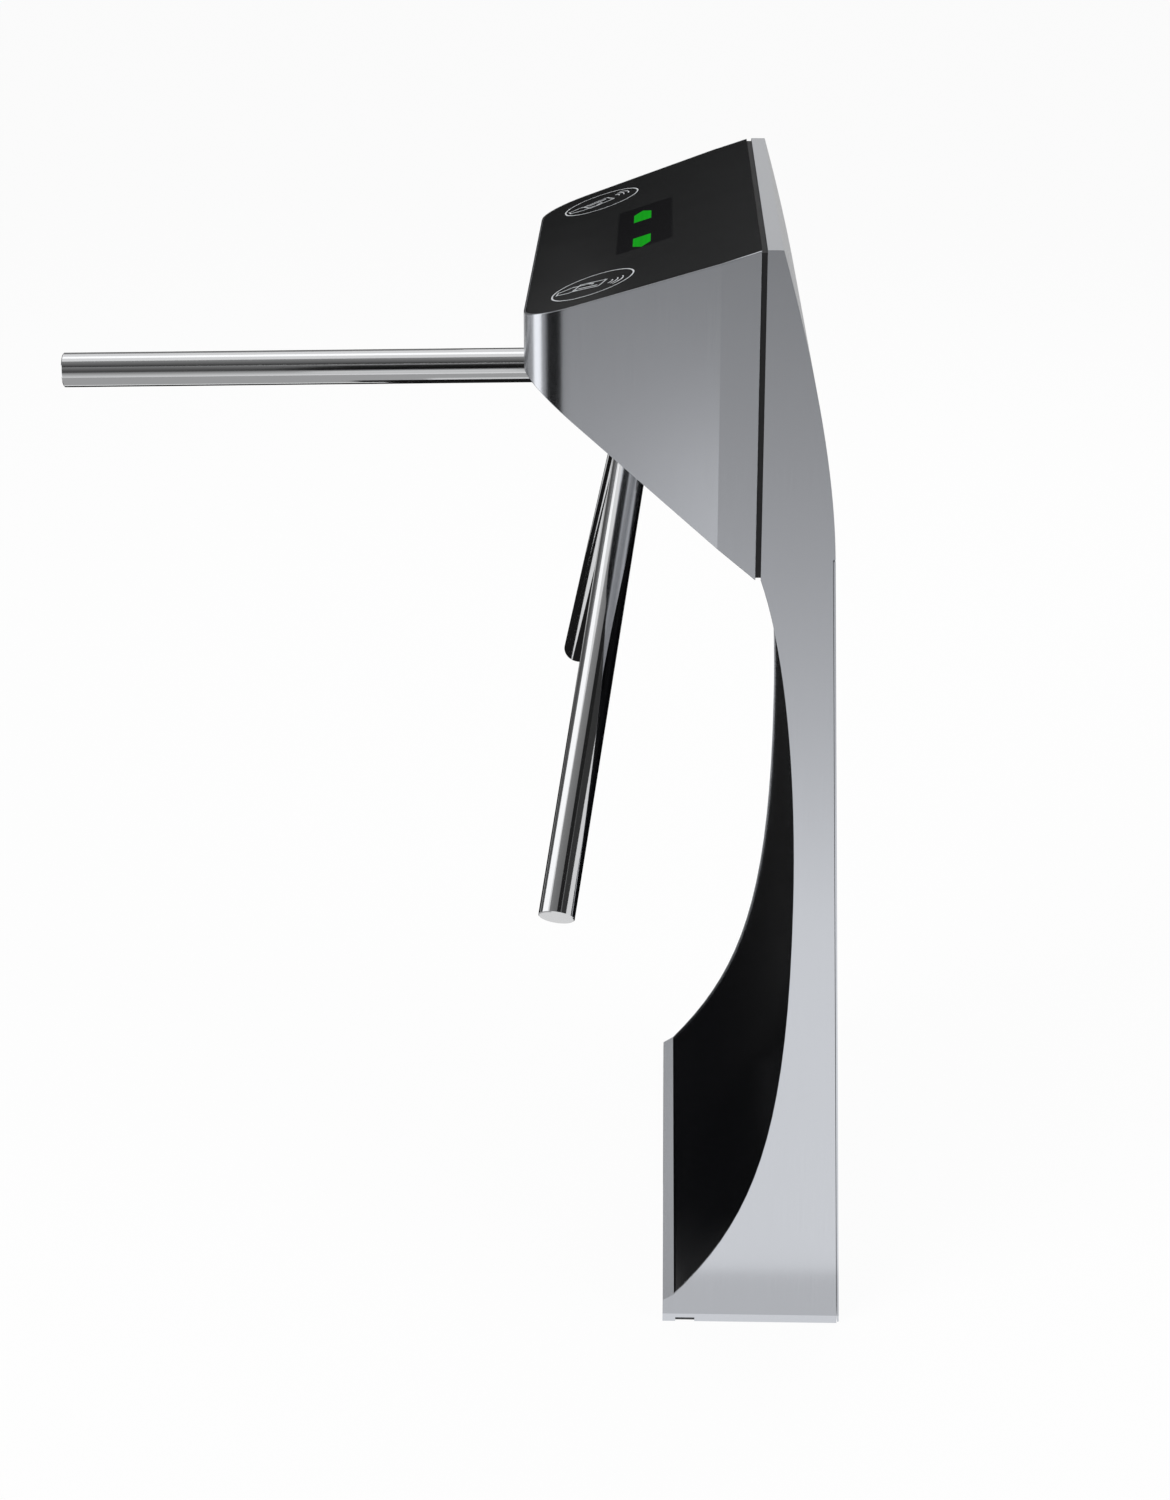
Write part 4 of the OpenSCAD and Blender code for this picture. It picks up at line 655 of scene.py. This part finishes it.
# Fold radius and shortest folded edge of each sheet, in millimetres
fold_edges("pedestal_shell", 0.7, 12)
fold_edges("head_shell", 0.7, 6, crisp_from=-0.08)
fold_edges("scoop_panel", 0.3, 12)
fold_edges("service_door", 0.5, 20)
fold_edges("top_plate", 0.4, 12)
DEBURRED = 0.25
for part_name in ("base_plate", "neck_bracket", "head_back_plate", "chassis_plate", "bearing_housing",
                  "drive_motor", "solenoids", "power_supply", "terminal_block", "hub", "hub_bezel",
                  "frame_posts", "equipment_panel", "lock_body", "lock_cam", "pawl_lower", "pawl_upper"):
    fold_edges(part_name, DEBURRED)
for part_name in ("arm_top", "arm_near", "arm_far", "arm_plugs", "arm_caps", "hub_cap", "hub_screws",
                  "bezel_screws", "arm_bolts", "main_shaft", "bearing_spacer", "ball_bearings",
                  "shaft_nut", "reader_rings", "wiring_loom", "cable_grommet", "hinge_leaves_fixed",
                  "hinge_leaves_door", "hinge_pins", "pawl_posts", "chassis_posts", "plunger_lower",
                  "plunger_upper", "head_bolts", "housing_screws", "index_disc", "drive_gear",
                  "motor_pinion", "neck_gasket"):
    fold_edges(part_name, 0)
fit_out_control_board()
fit_out_floor()
make_reader_sign(1)
make_reader_sign(-1)


# Studio

FLOOR_RADIUS = 14.0
FLOOR_PAINT = (0.8, 0.8, 0.8, 1)
PAPER_SHARE = 0.94
ROUND_STEPS = 96
ROOM_LIGHT = 0.45


def stage_flat(name, bm, material):
    """A flat piece of the studio, which isn't part of the object."""
    mesh = bpy.data.meshes.new(name)
    bm.to_mesh(mesh)
    bm.free()
    piece = bpy.data.objects.new(name, mesh)
    bpy.context.scene.collection.objects.link(piece)
    mesh.materials.append(material)
    return piece


def stage_reflection(name, bm, material):
    """A flat piece of the studio that only shiny surfaces see."""
    piece = stage_flat(name, bm, material)
    piece.visible_camera = False
    piece.visible_diffuse = False
    piece.visible_transmission = False
    piece.visible_shadow = False


def seen_directly(tree):
    """1 for what the viewer, metal and glass see, and 0 for light on matt surfaces."""
    ray = add(tree, "ShaderNodeLightPath")
    shiny = maths(tree, "MAXIMUM", ray.outputs["Is Glossy Ray"], ray.outputs["Is Transmission Ray"])
    return maths(tree, "MAXIMUM", ray.outputs["Is Camera Ray"], shiny)


def empty_material(name):
    material = bpy.data.materials.new(name)
    material.use_nodes = True
    material.node_tree.nodes.clear()
    return material, material.node_tree


def finish_material(tree, shader):
    out = add(tree, "ShaderNodeOutputMaterial")
    tree.links.new(shader.outputs[0], out.inputs[0])


def pale_floor_paint(share):
    """Pale paint that the viewer, metal and glass see as white paper, and that holds a soft shadow."""
    material, tree = empty_material("pale floor")
    paint = add(tree, "ShaderNodeBsdfDiffuse")
    paint.inputs["Color"].default_value = FLOOR_PAINT
    paper = add(tree, "ShaderNodeEmission")
    mix = add(tree, "ShaderNodeMixShader")
    tree.links.new(maths(tree, "MULTIPLY", seen_directly(tree), share), mix.inputs[0])
    tree.links.new(paint.outputs[0], mix.inputs[1])
    tree.links.new(paper.outputs[0], mix.inputs[2])
    finish_material(tree, mix)
    return material


def toned_cloth(name, way, start, end, start_tone, end_tone):
    """Cloth whose tone changes evenly with height, or with nearness to the middle of the floor."""
    material, tree = empty_material(name)
    place = add(tree, "ShaderNodeTexCoord")
    if way == "height":
        parts = add(tree, "ShaderNodeSeparateXYZ")
        tree.links.new(place.outputs["Object"], parts.inputs[0])
        value = parts.outputs["Z"]
    else:
        distance = add(tree, "ShaderNodeVectorMath", operation="LENGTH")
        tree.links.new(place.outputs["Object"], distance.inputs[0])
        value = maths(tree, "DIVIDE", 1.0, distance.outputs["Value"])
    ramp = add(tree, "ShaderNodeMapRange")
    tree.links.new(value, ramp.inputs["Value"])
    ramp.inputs["From Min"].default_value = start
    ramp.inputs["From Max"].default_value = end
    ramp.inputs["To Min"].default_value = start_tone
    ramp.inputs["To Max"].default_value = end_tone
    glow = add(tree, "ShaderNodeEmission")
    tree.links.new(ramp.outputs[0], glow.inputs["Strength"])
    finish_material(tree, glow)
    return material


def even_tone(name, tone):
    material, tree = empty_material(name)
    glow = add(tree, "ShaderNodeEmission")
    glow.inputs["Strength"].default_value = tone
    finish_material(tree, glow)
    return material


def rectangle(bm, width, depth):
    """A level rectangle round the origin."""
    made = bmesh.ops.create_grid(bm, x_segments=1, y_segments=1, size=0.5)["verts"]
    bmesh.ops.scale(bm, vec=(width, depth, 1), verts=made)


def tip(bm, angle, axis):
    bmesh.ops.rotate(bm, cent=(0, 0, 0), matrix=Matrix.Rotation(angle, 3, axis), verts=bm.verts[:])


def move(bm, place):
    bmesh.ops.translate(bm, vec=place, verts=bm.verts[:])


def hoop(bm, radius):
    """A round line, and a second one joined to it by faces. Gives the second one's points."""
    ring = bmesh.ops.create_circle(bm, segments=ROUND_STEPS, radius=radius)["verts"]
    edges = list({e for v in ring for e in v.link_edges})
    grown = bmesh.ops.extrude_edge_only(bm, edges=edges)["geom"]
    return [g for g in grown if isinstance(g, bmesh.types.BMVert)]


def make_floor():
    bm = bmesh.new()
    bmesh.ops.create_circle(bm, cap_ends=True, segments=ROUND_STEPS, radius=FLOOR_RADIUS)
    stage_flat("studio floor", bm, pale_floor_paint(PAPER_SHARE))


def make_cloths():
    """Grey cloths that only shiny surfaces see: one laid round the floor and one hung round the room."""
    inner, outer, lift = 1.15, 8.74, 0.004
    bm = bmesh.new()
    wide = hoop(bm, inner)
    bmesh.ops.scale(bm, vec=(outer / inner, outer / inner, 1), verts=wide)
    move(bm, (0, 0, lift))
    tone = toned_cloth("floor cloth", "nearness", start=0.1, end=0.85, start_tone=0.24, end_tone=1.04)
    stage_reflection("floor cloth", bm, tone)
    room, top = 8.8, 6.0
    bm = bmesh.new()
    bmesh.ops.translate(bm, vec=(0, 0, top), verts=hoop(bm, room))
    tone = toned_cloth("room cloth", "height", start=1.5, end=top, start_tone=0.10, end_tone=0.30)
    stage_reflection("room cloth", bm, tone)


def hang_cloth(name, low, high, y, tone, top_tone):
    """A flat cloth across the walkway, between two corners along X and Z."""
    tone_foot, tone_head = 2.0, 6.0
    bm = bmesh.new()
    rectangle(bm, high[0] - low[0], high[1] - low[1])
    tip(bm, math.radians(90), "X")
    move(bm, ((low[0] + high[0]) / 2, y, (low[1] + high[1]) / 2))
    stage_reflection(name, bm, toned_cloth(name, "height", tone_foot, tone_head, tone, top_tone))


def make_front_cloth():
    """A dark cloth that rises over the viewer's head, for the dark middle of each polished tube."""
    width, depth = 16.0, 6.6
    rise, run = 3.0, 6.0
    middle = (0, -5.6, 7.5)
    bm = bmesh.new()
    rectangle(bm, width, depth)
    tip(bm, math.atan2(rise, run), "X")
    move(bm, middle)
    tone = toned_cloth("front cloth", "height", start=6.0, end=9.0, start_tone=0.03, end_tone=0.34)
    stage_reflection("front cloth", bm, tone)


def lay_rug(name, low, high, height, tone):
    """A level cloth between two corners along X and Y, seen only by shiny surfaces."""
    bm = bmesh.new()
    rectangle(bm, high[0] - low[0], high[1] - low[1])
    move(bm, ((low[0] + high[0]) / 2, (low[1] + high[1]) / 2, height))
    stage_reflection(name, bm, even_tone(name, tone))


def make_card(name, place, width, height, tone, foot=0.01):
    """A flat card that stands at a height and faces the object, seen only by shiny surfaces."""
    bm = bmesh.new()
    rectangle(bm, width, height)
    tip(bm, math.radians(90), "X")
    tip(bm, math.atan2(place[1], place[0]) + math.radians(90), "Z")
    move(bm, (*place, foot + height / 2))
    stage_reflection(name, bm, even_tone(name, tone))


def aim(holder, place, ahead):
    """Puts a lamp or the camera at a place, looking along a way with its top up."""
    bpy.context.scene.collection.objects.link(holder)
    holder.location = place
    holder.rotation_mode = "QUATERNION"
    holder.rotation_quaternion = ahead.to_track_quat("-Z", "Y")


def make_lamp(name, place, target, size, power):
    """A soft lamp that lights matt surfaces; shiny ones see the cards instead."""
    lamp = bpy.data.lights.new(name, "AREA")
    lamp.shape = "RECTANGLE"
    lamp.size, lamp.size_y = size
    lamp.energy = power
    holder = bpy.data.objects.new(name, lamp)
    holder.visible_glossy = False
    aim(holder, place, Vector(target) - Vector(place))


def make_world():
    """A white room to the viewer, to metal and to glass, and half as bright to matt surfaces."""
    world = bpy.data.worlds.new("studio")
    bpy.context.scene.world = world
    world.use_nodes = True
    tree = world.node_tree
    back = tree.nodes["Background"]
    tree.links.new(spread(tree, seen_directly(tree), ROOM_LIGHT, 1.0), back.inputs["Strength"])
    back.inputs["Color"].default_value = (1, 1, 1, 1)


def make_camera(place, yaw, pitch, lens):
    camera = bpy.data.cameras.new("camera")
    camera.lens = lens
    camera.sensor_width = 36
    camera.sensor_fit = "AUTO"
    camera.clip_end = 100
    holder = bpy.data.objects.new("camera", camera)
    yaw, pitch = math.radians(yaw), math.radians(pitch)
    ahead = Vector((math.sin(yaw) * math.cos(pitch), math.cos(yaw) * math.cos(pitch), -math.sin(pitch)))
    aim(holder, place, ahead)
    bpy.context.scene.camera = holder


make_floor()
make_cloths()
make_front_cloth()
lay_rug("rear rug", low=(-0.42, 0.32), high=(0.3, 3.4), height=0.006, tone=0.015)
lay_rug("far rear rug", low=(-3.6, 3.2), high=(0.3, 8.3), height=0.007, tone=0.01)
lay_rug("side rear rug", low=(-2.6, 0.8), high=(-0.86, 3.4), height=0.0065, tone=0.01)
lay_rug("low rear rug", low=(-0.86, 0.5), high=(-0.42, 3.4), height=0.0068, tone=0.012)
lay_rug("scoop rug", low=(-0.45, -0.02), high=(-0.0836, 0.34), height=0.0075, tone=0.008)
lay_rug("cap pad", low=(-0.36, -0.26), high=(-0.10, -0.02), height=0.0078, tone=0.9)
hang_cloth("lip card", low=(-1.2, 0.2), high=(-0.55, 0.7), y=1.5, tone=0.55, top_tone=0.55)
hang_cloth("plate card", low=(-1.25, 1.3), high=(-0.42, 2.0), y=1.5, tone=0.32, top_tone=0.32)
hang_cloth("rear cloth", low=(-6.0, 0.0), high=(1.2, 5.6), y=8.4, tone=0.004, top_tone=0.36)
hang_cloth("front strip", low=(-1.5, 0.0), high=(-0.15, 4.4), y=-8.4, tone=0.01, top_tone=0.06)
# A painted shadow: a slightly darker sheet just in front of the foot, which only shiny surfaces see,
# stands in for the floor's contact shadow.
lay_rug("painted foot shadow", low=(-0.14, -0.35), high=(0.14, -0.27), height=0.008, tone=0.72)
lay_rug("tube rug", low=(-1.1, -1.0), high=(-0.16, 0.3), height=0.005, tone=0.5)
lay_rug("overhead card", low=(-1.6, 0.2), high=(0.6, 1.0), height=3.2, tone=1.6)
make_card("dark card", place=(-1.52, -1.10), width=1.02, height=1.2, tone=0.002)
make_card("bright card", place=(-1.80, 0.02), width=0.68, height=1.9, tone=1.5)
make_card("band card", place=(0.52, 3.5), width=1.2, height=4.2, tone=0.6)
make_card("upper bright card", place=(-1.80, -0.22), width=0.8, height=1.1, tone=1.5, foot=1.2)
make_card("right card", place=(1.9, -0.7), width=2.6, height=3.4, tone=0.05)
make_card("right low card", place=(1.7, -0.62), width=1.6, height=1.35, tone=0.95)
lay_rug("front shade", low=(0.0, -3.4), high=(1.6, -1.2), height=3.6, tone=0.02)
make_card("pale card", place=(-0.46, -1.75), width=0.34, height=0.45, tone=0.85)
make_world()
make_camera(place=(-0.09258, -2.7404, 1.52867), yaw=-1.473, pitch=21.075, lens=72.596)
make_lamp("key softbox", place=(-2.2, -2.4, 3.2), target=(0, 0, 0.7), size=(2.2, 2.2), power=90)
make_lamp("fill softbox", place=(2.8, -1.6, 2.2), target=(0, 0, 0.7), size=(2.0, 2.0), power=35)
make_lamp("back softbox", place=(0.4, 3.0, 3.0), target=(0, 0, 0.8), size=(2.4, 1.6), power=50)
bpy.context.scene.view_settings.view_transform = "Standard"
